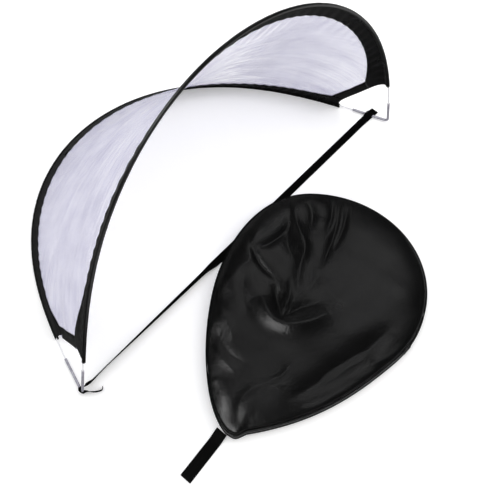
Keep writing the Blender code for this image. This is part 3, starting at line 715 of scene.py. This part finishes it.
def makeCornerTubes():
    for side, name in ((-1, "left"), (1, "right")):
        up, back = legDirection(frontArch, side), legDirection(rearArch, side)
        opening = math.acos(float(np.dot(up, back)))
        bend = tubes["bendRadius"]
        setback = bend / math.tan(opening / 2)
        inner = unit(up + back) * bend / math.sin(opening / 2)
        start, end = unit(up * setback - inner), unit(back * setback - inner)
        arc = math.acos(float(np.dot(start, end)))
        steps, outer, lip = tubes["steps"], tubes["diameter"] / 2, tubes["lip"]
        line = [corner(side) + up * r for r in np.linspace(goal["frontLeg"], setback, steps, endpoint=False)]
        for t in np.linspace(0, 1, steps + 1):
            turned = (math.sin((1 - t) * arc) * start + math.sin(t * arc) * end) / math.sin(arc)
            line.append(corner(side) + inner + turned * bend)
        line += [corner(side) + back * r for r in np.linspace(setback, goal["rearLeg"], steps)[1:]]
        path = [line[0], line[0] - up * lip] + line[1:-1] + [line[-1] - back * lip, line[-1]]
        radii = [outer - lip] + [outer] * (len(path) - 2) + [outer - lip]
        skin = tubeRings(np.array(path), outer, tubes["sides"], radii)
        piece = clothGrid("cornerTube" + name.title(), skin, closed=True)
        closeEnds(piece, outer - tubes["wall"], ((line[0], up), (line[-1], back)))
        dressPiece(piece, platedSteel, "rear_frame", ["corner_tube_" + name])


def extruded(bm, edges):
    made = bmesh.ops.extrude_edge_only(bm, edges=edges)["geom"]
    return [[g for g in made if isinstance(g, kind)] for kind in (bmesh.types.BMVert, bmesh.types.BMEdge)]


def closeEnds(piece, bore, mouths):
    # each open end is drawn inwards as a bore that stops on the rod
    bm = bmesh.new()
    bm.from_mesh(piece.data)
    for tip, along in mouths:
        tip, along = Vector(tip), Vector(along)
        loop = [e for e in bm.edges if e.is_boundary and (e.verts[0].co - tip).length < bore * 2]
        verts, edges = extruded(bm, loop)
        for vert in verts:
            away = vert.co - tip
            away -= along * away.dot(along)
            vert.co = tip - along * tubes["countersink"] + away.normalized() * bore
        verts, edges = extruded(bm, edges)
        bmesh.ops.translate(bm, vec=-along * tubes["well"], verts=verts)
        bmesh.ops.edgeloop_fill(bm, edges=edges)
    bmesh.ops.recalc_face_normals(bm, faces=bm.faces)
    bm.to_mesh(piece.data)
    bm.free()
    piece.data.shade_smooth()
    piece.data.set_sharp_from_angle(angle=math.radians(tubes["sharpFrom"]))


netCloth = {"thickness": 0.0004, "columns": 300, "rows": 84}
sleeves = {
    "fabric": 0.0005,
    "pocketRadius": 0.0050,
    "steps": 260,
    "foldedEdge": 0.009,         # cloth turned under along the band's inner edge
    "foldRise": 0.00025,         # it lifts the band by this
    "edgeSeam": 0.0045,          # stitching, from the band's inner edge
    "pocketSeam": 0.0125,        # stitching that closes the pocket, from the rod's axis
    "pocketEdge": 2.2,           # the flat band starts this many pocket radii from the rod's axis
    "pocketOpening": 30,         # half the angle that the round pocket leaves open, in degrees
    "gathers": 0.035,            # how unevenly the pocket is gathered, as a share of its radius
    "gatherPace": 45,            # gathers to a metre
    "flap": 0.013,               # at its left end the band narrows to the pocket over this length
}
bandLayer = netCloth["thickness"] / 2 + goal["netGap"] + sleeves["fabric"] / 2     # from the net's middle


def makeSleeve(name, atFront, width, body, node):
    # hairpin of cloth: in along one face of the band, round the rod, and back along the other
    arch = frontArch if atFront else rearArch
    u = np.linspace(0, 1, sleeves["steps"])
    s = archPlace(atFront, u)
    across = archTangents(arch, s)
    ahead = 0.02 if atFront else 0.98
    toward = netPlaces(u, ahead) - netPlaces(u, 0 if atFront else 1)
    toward = unit(toward - across * np.sum(toward * across, -1, keepdims=True))
    sideways = unit(np.cross(toward, across))
    middle = sleeves["pocketRadius"] - sleeves["fabric"] / 2
    inner = middle - sleeves["fabric"] / 2
    centre = archPoints(arch, s) + archInward(arch, s) * (inner - rods["diameter"] / 2 - goal["gap"])

    def face(distance, sign, raised=0.0):
        v = bandV(u, atFront, distance)
        normals = netNormals(u, v)
        facing = np.sign(np.sum(normals * sideways, -1, keepdims=True)) * sign
        return clothPlaces(u, v) + normals * facing * (bandLayer + raised), normals * facing

    pocket = sleeves["pocketRadius"] * sleeves["pocketEdge"]
    distances = np.linspace(width, pocket, 9)
    turned = [sleeves["foldRise"] if d > width - sleeves["foldedEdge"] else 0.0 for d in distances]
    full = np.sqrt(np.clip((s - s[0]) / sleeves["flap"], 0, 1))
    distances = [pocket + (d - pocket) * full for d in distances]
    angles = np.radians(np.linspace(sleeves["pocketOpening"], 360 - sleeves["pocketOpening"], 21))
    gathers = 1 + sleeves["gathers"] * ripple(s * sleeves["gatherPace"], 0, 21 + atFront)[:, None]
    rows = [face(d, 1, r)[0] for d, r in zip(distances, turned)]
    rows += [centre + (toward * math.cos(a) + sideways * math.sin(a)) * middle * gathers for a in angles]
    rows += [face(d, -1, r)[0] for d, r in zip(distances[::-1], turned[::-1])]
    piece = clothGrid(name, np.stack(rows, 1), thickness=sleeves["fabric"])
    dressPiece(piece, bandSatin, body, [node])

    bm = bmesh.new()
    for distance, edge in ((width - sleeves["edgeSeam"], sleeves["foldRise"]), (sleeves["pocketSeam"], 0)):
        for sign in (-1, 1):
            raised = sleeves["fabric"] / 2 + stitch["lift"] + edge
            stitchRow(bm, *face(pocket + (distance - pocket) * full, sign, raised))
    seam = newPiece(name + "Stitching", bm)
    dressPiece(seam, sewingThread, body)


def blendWeights(piece):
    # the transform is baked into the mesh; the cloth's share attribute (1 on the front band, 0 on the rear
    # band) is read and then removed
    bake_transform(piece)
    values = np.zeros(len(piece.data.vertices), np.float32)
    piece.data.attributes["share"].data.foreach_get("value", values)
    piece.data.attributes.remove(piece.data.attributes["share"])


def acrossShare(u, v):
    low, high = bandEdges(u)
    return np.clip((high - v) / (high - low), 0, 1)


def makeNet():
    ends = goal["netInset"] / netLength
    u = np.linspace(ends, 1 - ends, netCloth["columns"] + 1)[:, None]
    low, high = bandEdges(u)
    first, last = low * (1 - goal["netTuck"]), 1 - (1 - high) * (1 - goal["netTuck"])
    v = first + (last - first) * np.linspace(0, 1, netCloth["rows"] + 1)[None, :]
    places = clothPlaces(u, v)
    lengths = np.stack([runLengths(places[:, j]) for j in range(places.shape[1])], 1)
    spans = np.stack([runLengths(places[i]) for i in range(places.shape[0])], 0)
    weave = np.stack([lengths - lengths[-1] / 2, spans - spans[:, -1:] / 2], -1)
    piece = clothGrid("netPanel", places, weave, acrossShare(u, v), thickness=netCloth["thickness"])
    blendWeights(piece)
    dressPiece(piece, netMesh, None, ["net_panel"])
    piece.visible_glossy = False          # keeps the net out of the bag's gloss


hems = {
    "fold": 0.0008,              # the fold reaches this far past the net's end
    "foldCurve": ((-0.8, 0.7), (-1, 0), (-0.8, -0.7)),      # its section, in shares of the fold and the layer
    "steps": 6,
    "seam": 0.8,                 # where the stitching runs, as a share of the hem's width
}


def hemLine(inset, turned):
    # u and v along a line from band to band, this far in from the net's left or right end
    u = np.full(netCloth["rows"] + 1, 1 - inset if turned else inset)
    low, high = bandEdges(u, goal["gap"])
    return u, low + (high - low) * np.linspace(0, 1, len(u))


def makeHems():
    wide, fold, steps = goal["hemWidth"] / netLength, hems["fold"] / netLength, hems["steps"]
    face = [wide * k / steps for k in range(steps + 1)]
    section = [(inset, bandLayer) for inset in face[::-1]]
    section += [(fold * a, bandLayer * b) for a, b in hems["foldCurve"]]
    section += [(inset, -bandLayer) for inset in face]
    for name, node, turned in (("hemLeft", "hem_left", False), ("hemRight", "hem_right", True)):
        rows = [clothPlaces(*hemLine(inset, turned), lift) for inset, lift in section]
        shares = [acrossShare(*hemLine(inset, turned)) for inset, lift in section]
        piece = clothGrid(name, np.stack(rows, 1), share=np.stack(shares, 1), thickness=sleeves["fabric"])
        bm = bmesh.new()
        shareLayer = bm.verts.layers.float.new("share")
        u, v = hemLine(wide * hems["seam"], turned)
        for sign in (1, -1):
            line = clothPlaces(u, v, sign * (bandLayer + sleeves["fabric"] / 2 + stitch["lift"]))
            stitchRow(bm, line, netNormals(u, v) * sign, shareLayer, acrossShare(u, v))
        seam = newPiece(name + "Stitching", bm)
        blendWeights(piece)
        blendWeights(seam)
        dressPiece(piece, bandSatin, None, [node])
        dressPiece(seam, sewingThread, None)


makeRods()
makeCornerTubes()
makeSleeve("frontSleeve", True, goal["frontBand"], "front_arch", "front_sleeve")
makeSleeve("rearSleeve", False, goal["rearBand"], "rear_frame", "rear_sleeve")
makeNet()
makeHems()
print("rods, sleeves, net and hems made")


# ---- the ground strap

strap = {
    "width": 0.022,
    "overlap": 0.040,            # how far the right end is doubled back
    "seat": 0.057,               # where it sits on the rear leg, from the corner
    "fold": 0.0270,              # how far its loop reaches past the leg
    "twist": 66,                 # the left part is twisted by this angle, and lies flat from this x
    "flatFrom": -0.080,
    "untwist": 0.07,             # the length over which it turns flat, and at its two ends
    "ease": 0.06,
    "gatherWidth": 0.010,
    "tailWidth": 0.0135,
    "wrapWidth": 0.020,          # the gather swells to this where it wraps the bend
    "wrap": (255, 230, 205, 180, 155, 130, 105, 85),        # degrees round the bend
    "enter": (1.6, 0.85),        # where it comes to the bend and leaves it,
    "leave": (2.2, 0.9),         # in half widths and half heights of the wrap
    "wedge": 0.014,              # it swells again by this once it has left the bend
    "wedgeAt": 0.012,
    "wedgeLength": 0.011,
    "tail": ((0.046, -0.024), (0.040, -0.030), (0.024, -0.022)),   # its free end, from the corner
    "crossSeam": (0.003, 0.018),       # the sewn box: its margin, and how near to the leg it ends
}


def rightLoop():
    # the right end, doubled back over the rear leg and sewn, from its tip
    seat = corner(1) + legDirection(rearArch, 1) * strap["seat"]
    over = tubes["diameter"] / 2 + goal["gap"] + webbing / 2
    low = webbing / 2 - axisHeight
    top = low + webbing + goal["gap"]
    skew = abs(math.tan(math.radians(90 - goal["rearRise"]))) * strap["width"] / 2
    fold, thick = strap["fold"], webbing
    profile = [(strap["overlap"], top), (skew + over * 3, top), (skew + over * 1.5, over * 0.15),
               (skew + over * 0.4, over), (-skew - over * 0.4, over), (-skew - over * 1.5, over * 0.15),
               (-fold + thick, top), (-fold, (low + top) / 2), (-fold + thick, low), (skew + over * 3, low),
               (strap["overlap"], low)]
    return [[*(seat + np.array((-run, 0, lift))), 0, 1, 0, strap["width"]] for run, lift in profile]


def leftLoop():
    # the left end, gathered and passed round the tube's bend, from its free tail
    up, back = legDirection(frontArch, -1), legDirection(rearArch, -1)
    across, out = unit(back - up), unit(up + back)
    ahead = np.cross(across, out)
    ahead = ahead if ahead[0] > 0 else -ahead
    opening = math.acos(float(np.dot(up, back)))
    depth = tubes["bendRadius"] / math.sin(opening / 2) - tubes["bendRadius"]
    side = tubes["diameter"] / 2 + 4 * goal["gap"] + webbing / 2
    swell = strap["gatherWidth"] / 2 * math.tan(opening / 2)
    centre = corner(-1) + out * (depth + swell / 2)
    tall = side + swell / 2
    upright = unit(np.array((0, -0.25, 1)))
    line = []
    for x, y in strap["tail"]:
        place = corner(-1) + (x, y, 0)
        line.append(([place[0], place[1], webbing / 2 + strap["gatherWidth"] / 2], upright))
    (enterAhead, enterOut), (leaveAhead, leaveOut) = strap["enter"], strap["leave"]
    line.append((centre + ahead * side * enterAhead - out * tall * enterOut, across))
    for angle in np.radians(strap["wrap"]):
        line.append((centre + ahead * side * math.cos(angle) + out * tall * math.sin(angle), across))
    line.append((centre + ahead * side * leaveAhead + out * tall * leaveOut, across))
    widths = [strap["tailWidth"]] * 3 + [strap["wrapWidth"]] * (len(line) - 6) + [strap["gatherWidth"]] * 3
    return [[*p, *(w if w[2] < 0 else -w), width] for (p, w), width in zip(line, widths)]


def makeGroundStrap():
    left, right = leftLoop(), rightLoop()
    start, end = np.array(left[-1]), np.array(right[-1])
    firstTurn = math.atan2(start[5], start[4])
    run = []
    for t in np.concatenate([(0.006, 0.012, 0.018, 0.025), np.arange(1, 30) / 30]):
        x = start[0] + (end[0] - start[0]) * t
        wider, flat = smoothStep((x - start[0]) / strap["ease"]), smoothStep((end[0] - x) / strap["ease"])
        twist = math.radians(strap["twist"]) * (1 - (x - start[0]) / (end[0] - start[0]))
        twist = -twist * smoothStep((strap["flatFrom"] - x) / strap["untwist"])
        turn = (firstTurn + (twist - firstTurn) * wider) * flat
        width = strap["gatherWidth"] + (strap["width"] - strap["gatherWidth"]) * wider
        width += strap["wedge"] * math.exp(-((x - start[0] - strap["wedgeAt"]) / strap["wedgeLength"]) ** 2)
        y = start[1] + (end[1] - start[1]) * t
        z = max(start[2] * (1 - wider), webbing / 2 + width / 2 * abs(math.sin(turn)))
        run.append([x, y, z, 0, math.cos(turn), math.sin(turn), width])
    line = throughPoints(left + run + right[::-1], 0.003)
    line[:, 2] = np.maximum(line[:, 2], webbing / 2)
    across = unit(line[:, 3:6])
    offsets = np.linspace(-0.5, 0.5, 7)
    places = line[:, None, :3] + across[:, None] * (line[:, 6:7] * offsets)[..., None]
    places[..., 2] = np.maximum(places[..., 2], webbing / 2)
    piece = clothGrid("groundStrap", places, thickness=webbing, even=False)
    dressPiece(piece, strapWebbing, "rear_frame", ["ground_strap"])

    # a sewn box with a cross in it holds the doubled end
    seat = corner(1) + legDirection(rearArch, 1) * strap["seat"]
    low = webbing * 2 + goal["gap"] + 2 * stitch["lift"]
    margin, clear = strap["crossSeam"]
    far, near, half = seat[0] - strap["overlap"] + margin, seat[0] - clear, strap["width"] / 2 - margin
    box = ((far, -half), (near, -half), (near, half), (far, half))
    corners = [np.array((x, seat[1] + y, low)) for x, y in box]
    bm = bmesh.new()
    for a, b in ((0, 1), (1, 2), (2, 3), (3, 0), (0, 2), (1, 3)):
        line = np.linspace(corners[a], corners[b], 8)
        stitchRow(bm, line, np.tile((0, 0, 1.0), (8, 1)))
    dressPiece(newPiece("groundStrapStitching", bm), sewingThread, "rear_frame")


makeGroundStrap()
print("ground strap made")


# ---- the carry bag

bag = {
    "centre": (0.0134, -0.2714),
    "radius": 0.295,
    "round": (40.5, -95.7),      # the round end runs clockwise between these
    "foot": (-0.4187, -0.1540),
    "brow": (-0.4506, -0.1187),
    "shoulder": (-0.1959, 0.1705),
    # how far each stretch between them keeps its direction at its two ends
    "roundPull": (0.1504, 0.1288),
    "footPull": ((0.1408, -0.1057), (-0.030, 0.012)),
    "browPull": ((0.004, -0.030), (0.012, 0.080)),
    "shoulderPull": (0.1328, 0.0875),
    "depth": 0.022,
    "liftEdge": 0.007,
    "crown": 0.0155,             # the top is full nearly to its edge, then drops
    "fullness": 9,
    "edgeFade": 0.07,            # folds die out this near to the edge, as a share of the way in
    "rise": 0.28,                # the bottom panel rises to its seam over this share
    "cloth": 0.0008,
    "piping": 0.0036,
    "handleWidth": 0.032,
    "handleLength": 0.146,
    "handleUp": 0.012,
    "handleTurn": 7.5,
    "handleDrop": 0.030,         # it comes down from the seam to the floor over this length
    "outlineSteps": 360,
    "rings": 84,
    # creases of the top panel: points in metres from the middle of the round end, half width, height
    "creases": (
        # the long bulge that catches the key lamp, and the hollow beside it
        (((-0.122, 0.068), (-0.143, 0.036), (-0.156, -0.004), (-0.146, -0.038), (-0.116, -0.064),
          (-0.082, -0.083), (-0.046, -0.094)), 0.029, 0.0160),
        (((-0.125, -0.018), (-0.080, -0.028), (-0.038, -0.056)), 0.013, -0.0075),
        # the fallen fold under the upper edge
        (((-0.007, 0.220), (-0.033, 0.178), (-0.053, 0.124), (-0.058, 0.066)), 0.009, -0.0065),
        (((-0.015, 0.176), (0.017, 0.165), (0.058, 0.162), (0.088, 0.166)), 0.014, -0.0085),
        (((0.138, 0.197), (0.087, 0.161), (0.039, 0.118), (0.020, 0.079)), 0.018, -0.0080),
        (((0.111, 0.150), (0.070, 0.086), (0.014, 0.056), (-0.050, 0.010)), 0.013, 0.0075),
        (((-0.070, 0.068), (-0.103, 0.030), (-0.129, -0.007)), 0.013, -0.0085),
        (((-0.038, 0.045), (-0.077, 0.014), (-0.129, -0.007)), 0.008, 0.0055),
        # folds that fan out from the upper edge
        (((0.170, 0.212), (0.123, 0.170), (0.089, 0.123), (0.044, 0.065)), 0.010, 0.0055),
        (((0.190, 0.184), (0.168, 0.147), (0.120, 0.114)), 0.011, -0.0065),
        (((0.236, 0.134), (0.190, 0.099), (0.143, 0.076)), 0.010, -0.0070),
        (((0.250, 0.119), (0.188, 0.076), (0.127, 0.046), (0.058, 0.016)), 0.009, -0.0065),
        (((0.245, 0.088), (0.187, 0.053), (0.122, 0.028)), 0.009, -0.0065),
        (((0.047, 0.016), (-0.007, -0.006), (-0.052, -0.002)), 0.018, 0.0030),
        # the lower edge sinks
        (((0.030, -0.232), (-0.062, -0.226), (-0.144, -0.210), (-0.215, -0.196), (-0.285, -0.180)),
         0.036, -0.0165),
        # the upper left edge turns down
        (((-0.150, 0.160), (-0.098, 0.170), (-0.058, 0.168), (-0.020, 0.200), (0.051, 0.222)), 0.026, 0.0060),
        (((-0.107, 0.145), (-0.144, 0.112), (-0.179, 0.065)), 0.012, -0.0040),
        (((-0.218, 0.133), (-0.231, 0.103), (-0.245, 0.064), (-0.262, 0.040)), 0.008, 0.0045),
        (((-0.310, 0.061), (-0.322, 0.009), (-0.326, -0.031)), 0.008, 0.0032),
        (((-0.270, 0.090), (-0.300, 0.020), (-0.296, -0.040)), 0.014, -0.0045),
        # the drawn-in end
        (((-0.420, -0.126), (-0.385, -0.098), (-0.345, -0.090), (-0.291, -0.115)), 0.014, -0.0042),
        (((-0.385, 0.002), (-0.372, -0.016)), 0.007, 0.0032),
        (((-0.282, -0.110), (-0.262, -0.121), (-0.226, -0.119)), 0.006, -0.0028),
        (((-0.293, -0.120), (-0.272, -0.143)), 0.006, 0.0022),
        (((0.161, 0.129), (0.175, 0.099)), 0.006, 0.0025),
        (((-0.080, -0.262), (-0.044, -0.285)), 0.012, 0.0050),
    ),
    "creaseEnd": 0.12,           # how strong a crease still is at its ends, as an angle of its sine
    "creaseShape": (0.6, 1.3),   # exponents: how fast it fades along its line, and how sharp its ridge is
    "swellSize": 0.130,
    "swellHeight": 0.0016,
    "bulge": 0.0011,             # how far the gusset sinks in between its seams, and how often
    "bulgeSize": 0.05,
}


def onRound(angle, radius):
    x, y = bag["centre"]
    return np.array((x + radius * math.cos(angle), y + radius * math.sin(angle)))


def bezier(a, b, c, d, steps):
    t = np.linspace(0, 1, steps, endpoint=False)[:, None]
    return a * (1 - t) ** 3 + b * 3 * t * (1 - t) ** 2 + c * 3 * t * t * (1 - t) + d * t ** 3


def bagOutline():
    # a round end, drawn in to a blunt end where the hand strap is sewn
    first, last = np.radians(bag["round"])
    steps = bag["outlineSteps"]
    points = [onRound(a, bag["radius"]) for a in np.linspace(first, last, steps * 6 // 11, endpoint=False)]
    low, high = onRound(last, bag["radius"]), onRound(first, bag["radius"])
    foot, brow, shoulder = (np.array(bag["centre"]) + bag[key] for key in ("foot", "brow", "shoulder"))
    arrive, leave = (np.array((math.sin(angle), -math.cos(angle))) * pull
                     for angle, pull in zip((first, last), bag["roundPull"]))
    (footIn, footOut), (browIn, browOut) = bag["footPull"], bag["browPull"]
    swell = np.array(bag["shoulderPull"])
    curves = (
        (low, low + leave, foot + footIn, foot, steps // 5),
        (foot, foot + footOut, brow + browIn, brow, steps // 18),
        (brow, brow + browOut, shoulder - swell, shoulder, steps // 5),
        (shoulder, shoulder + swell, high - arrive, high, steps // 5),
    )
    return np.vstack([points] + [bezier(*curve) for curve in curves])


def offsetOutline(points, offset, z):
    along = unit(np.roll(points, -1, axis=0) - np.roll(points, 1, axis=0))
    moved = points + np.stack([-along[:, 1], along[:, 0]], -1) * offset
    return np.column_stack([moved, np.full(len(points), z)])


def creaseHeight(places):
    # ridges and valleys pressed into the top panel, each a smooth line that fades at its ends
    rise = np.zeros(places.shape[:-1])
    flat = places[..., :2] - np.array(bag["centre"])
    (fade, sharpness), end = bag["creaseShape"], bag["creaseEnd"]
    for points, width, tall in bag["creases"]:
        line = throughPoints([[*p, 0] for p in points], 0.006)[:, :2]
        strength = np.sin(np.linspace(end, math.pi - end, len(line))) ** fade
        near = np.all((flat > line.min(0) - 3 * width) & (flat < line.max(0) + 3 * width), -1)
        reach = np.linalg.norm(flat[near][:, None] - line, axis=-1)
        rise[near] += tall * strength[reach.argmin(-1)] * np.exp(-(reach.min(-1) / width) ** sharpness)
    return rise


def panelPlaces(points, inset, height):
    edge = offsetOutline(points, -inset, 0)[:, :2]
    centre = np.array(bag["centre"])
    shares = np.linspace(1, 0, bag["rings"] + 1) ** 0.85
    flat = centre + (edge[:, None] - centre) * shares[None, :, None]
    flat = np.concatenate([flat, flat[:1]])
    places = np.concatenate([flat, np.zeros(flat.shape[:2] + (1,))], -1)
    places[..., 2] = height(places, np.broadcast_to(shares, flat.shape[:2]))
    return places


def makeBag():
    points = bagOutline()
    bottomSeam = bag["liftEdge"] + bag["cloth"] / 2
    topSeam = bottomSeam + bag["depth"]
    inset = bag["cloth"] + goal["gap"]

    def topHeight(places, shares):
        lowest = topSeam + bag["cloth"] / 2 + goal["gap"]
        dome = lowest + bag["crown"] * (1 - shares ** bag["fullness"])
        x, y = places[..., 0] / bag["swellSize"], places[..., 1] / bag["swellSize"]
        swell = bag["swellHeight"] * ripple(x, y, 31)
        free = smoothStep((1 - shares) / bag["edgeFade"])
        return np.maximum(dome + (creaseHeight(places) + swell) * free, lowest)

    def bottomHeight(places, shares):
        rise = smoothStep((shares - (1 - bag["rise"])) / bag["rise"])
        return bag["cloth"] / 2 + bag["liftEdge"] * rise

    for name, node, height in (("bagTop", "bag_top_panel", topHeight),
                               ("bagBottom", "bag_bottom_panel", bottomHeight)):
        places = panelPlaces(points, inset, height)
        piece = clothGrid(name, places, places[..., :2].copy(), closed=True, thickness=bag["cloth"])
        dressPiece(piece, bagNylon, "carry_bag", [node])
        if height is topHeight:
            seam = places[:-1, 2] + (0, 0, bag["cloth"] / 2)

    along = runLengths(np.vstack([points, points[:1]]))[:-1]
    bulge = bag["bulge"] * np.abs(ripple(along / bag["bulgeSize"], 0, 8))[:, None]
    rows = []
    for share in np.linspace(0, 1, 7):
        sunk = -bag["cloth"] / 2 - bulge * math.sin(math.pi * share)
        line = offsetOutline(points, sunk, bottomSeam + bag["depth"] * share)
        rows.append(np.vstack([line, line[:1]]))
    piece = clothGrid("bagGusset", np.stack(rows, 1), closed=True, thickness=bag["cloth"])
    dressPiece(piece, bagNylon, "carry_bag", ["bag_gusset"])

    radius = bag["piping"] / 2
    for name, node, z in (("bagPipingTop", "bag_piping_top", topSeam - radius),
                          ("bagPipingBottom", "bag_piping_bottom", bottomSeam + radius)):
        line = offsetOutline(points, radius + goal["gap"], z)
        rings = tubeRings(np.vstack([line[-1:], line, line[:2]]), radius, 12)[1:-1]
        rings[-1] = rings[0]
        piece = clothGrid(name, rings, closed=True)
        dressPiece(piece, pipingCloth, "carry_bag", [node])

    bm = bmesh.new()
    stitchRow(bm, np.vstack([seam, seam[:1]]), np.tile((0, 0, 1.0), (len(seam) + 1, 1)))
    dressPiece(newPiece("bagStitching", bm), sewingThread, "carry_bag")
    makeHandStrap(points)


def makeHandStrap(points):
    # a flat loop of webbing, folded at its far end and sewn into the blunt end of the bag
    tip = points[points[:, 0].argmin()]
    startX = tip[0] - bag["piping"] - 3 * goal["gap"]
    drop, thick = bag["handleDrop"], webbing
    layer = thick + goal["gap"]
    section = []
    for lift, order in ((0, 1), (1, -1)):
        leg = [(startX - drop * s, thick / 2 + bag["liftEdge"] * (1 - smoothStep(s)) + lift * layer)
               for s in np.linspace(0, 1, 7)]
        leg += [(startX - drop - (bag["handleLength"] - layer - drop) * s, thick / 2 + lift * layer)
                for s in (0.2, 0.4, 0.6, 0.8, 1)]
        section += leg[::order]
        if lift == 0:
            section.append((startX - bag["handleLength"], thick / 2 + layer / 2))
    turn = math.tan(math.radians(bag["handleTurn"]))
    line = throughPoints([[x, tip[1] + bag["handleUp"] + (x - startX) * turn, z] for x, z in section], 0.003)
    across = np.array((0, 1.0, 0)) * np.linspace(-0.5, 0.5, 9)[:, None] * bag["handleWidth"]
    places = line[:, None] + across[None]
    piece = clothGrid("bagHandStrap", places, thickness=thick, even=False)
    dressPiece(piece, strapWebbing, "carry_bag", ["bag_hand_strap"])


zipper = {
    "from": -93,                 # degrees round the round end
    "to": 38,
    "height": 0.0050,
    "thickness": 0.0016,
    "tape": 0.0006,
    "toothPitch": 0.0016,
    "tooth": (0.48, 0.30),       # half a tooth's width in pitches, and its half height in chain heights
    "toothShift": 0.13,          # the two rows lie this far above and below the middle
}


def makeZip():
    middle = bag["liftEdge"] + bag["cloth"] / 2 + bag["depth"] / 2
    inner = bag["radius"] + goal["gap"]
    angles = np.radians(np.linspace(zipper["from"], zipper["to"], 160))
    rows = []
    for share in (-0.5, -0.3, -0.1, 0.1, 0.3, 0.5):
        z = middle + zipper["height"] * share
        rows.append([[*onRound(a, inner + zipper["tape"] / 2), z] for a in angles])
    tape = clothGrid("zipTape", np.array(rows).transpose(1, 0, 2), thickness=zipper["tape"])
    dressPiece(tape, zipNylon, "carry_bag", ["zip_chain"])
    # two rows of coil loops that lock into each other
    bm = bmesh.new()
    length = math.radians(zipper["to"] - zipper["from"]) * inner
    deep, (wide, high) = (zipper["thickness"] - zipper["tape"]) / 2, zipper["tooth"]
    size = Matrix.Diagonal((deep, zipper["toothPitch"] * wide, zipper["height"] * high, 1))
    for k in range(int(length / zipper["toothPitch"]) - 1):
        angle = math.radians(zipper["from"]) + (k + 1) * zipper["toothPitch"] / inner
        side = 1 if k % 2 else -1
        place = onRound(angle, inner + zipper["tape"] + deep)
        at = Matrix.Translation((*place, middle + side * zipper["height"] * zipper["toothShift"]))
        turn = Matrix.Rotation(angle, 4, "Z")
        bmesh.ops.create_icosphere(bm, subdivisions=1, radius=1, matrix=at @ turn @ size)
    dressPiece(newPiece("zipCoil", bm), zipNylon, "carry_bag")
    for node in ("zip_slider", "zip_pull_pin", "zip_pull"):
        dressPiece(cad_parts[node], zipMetal)


makeBag()
makeZip()
print("carry bag made")
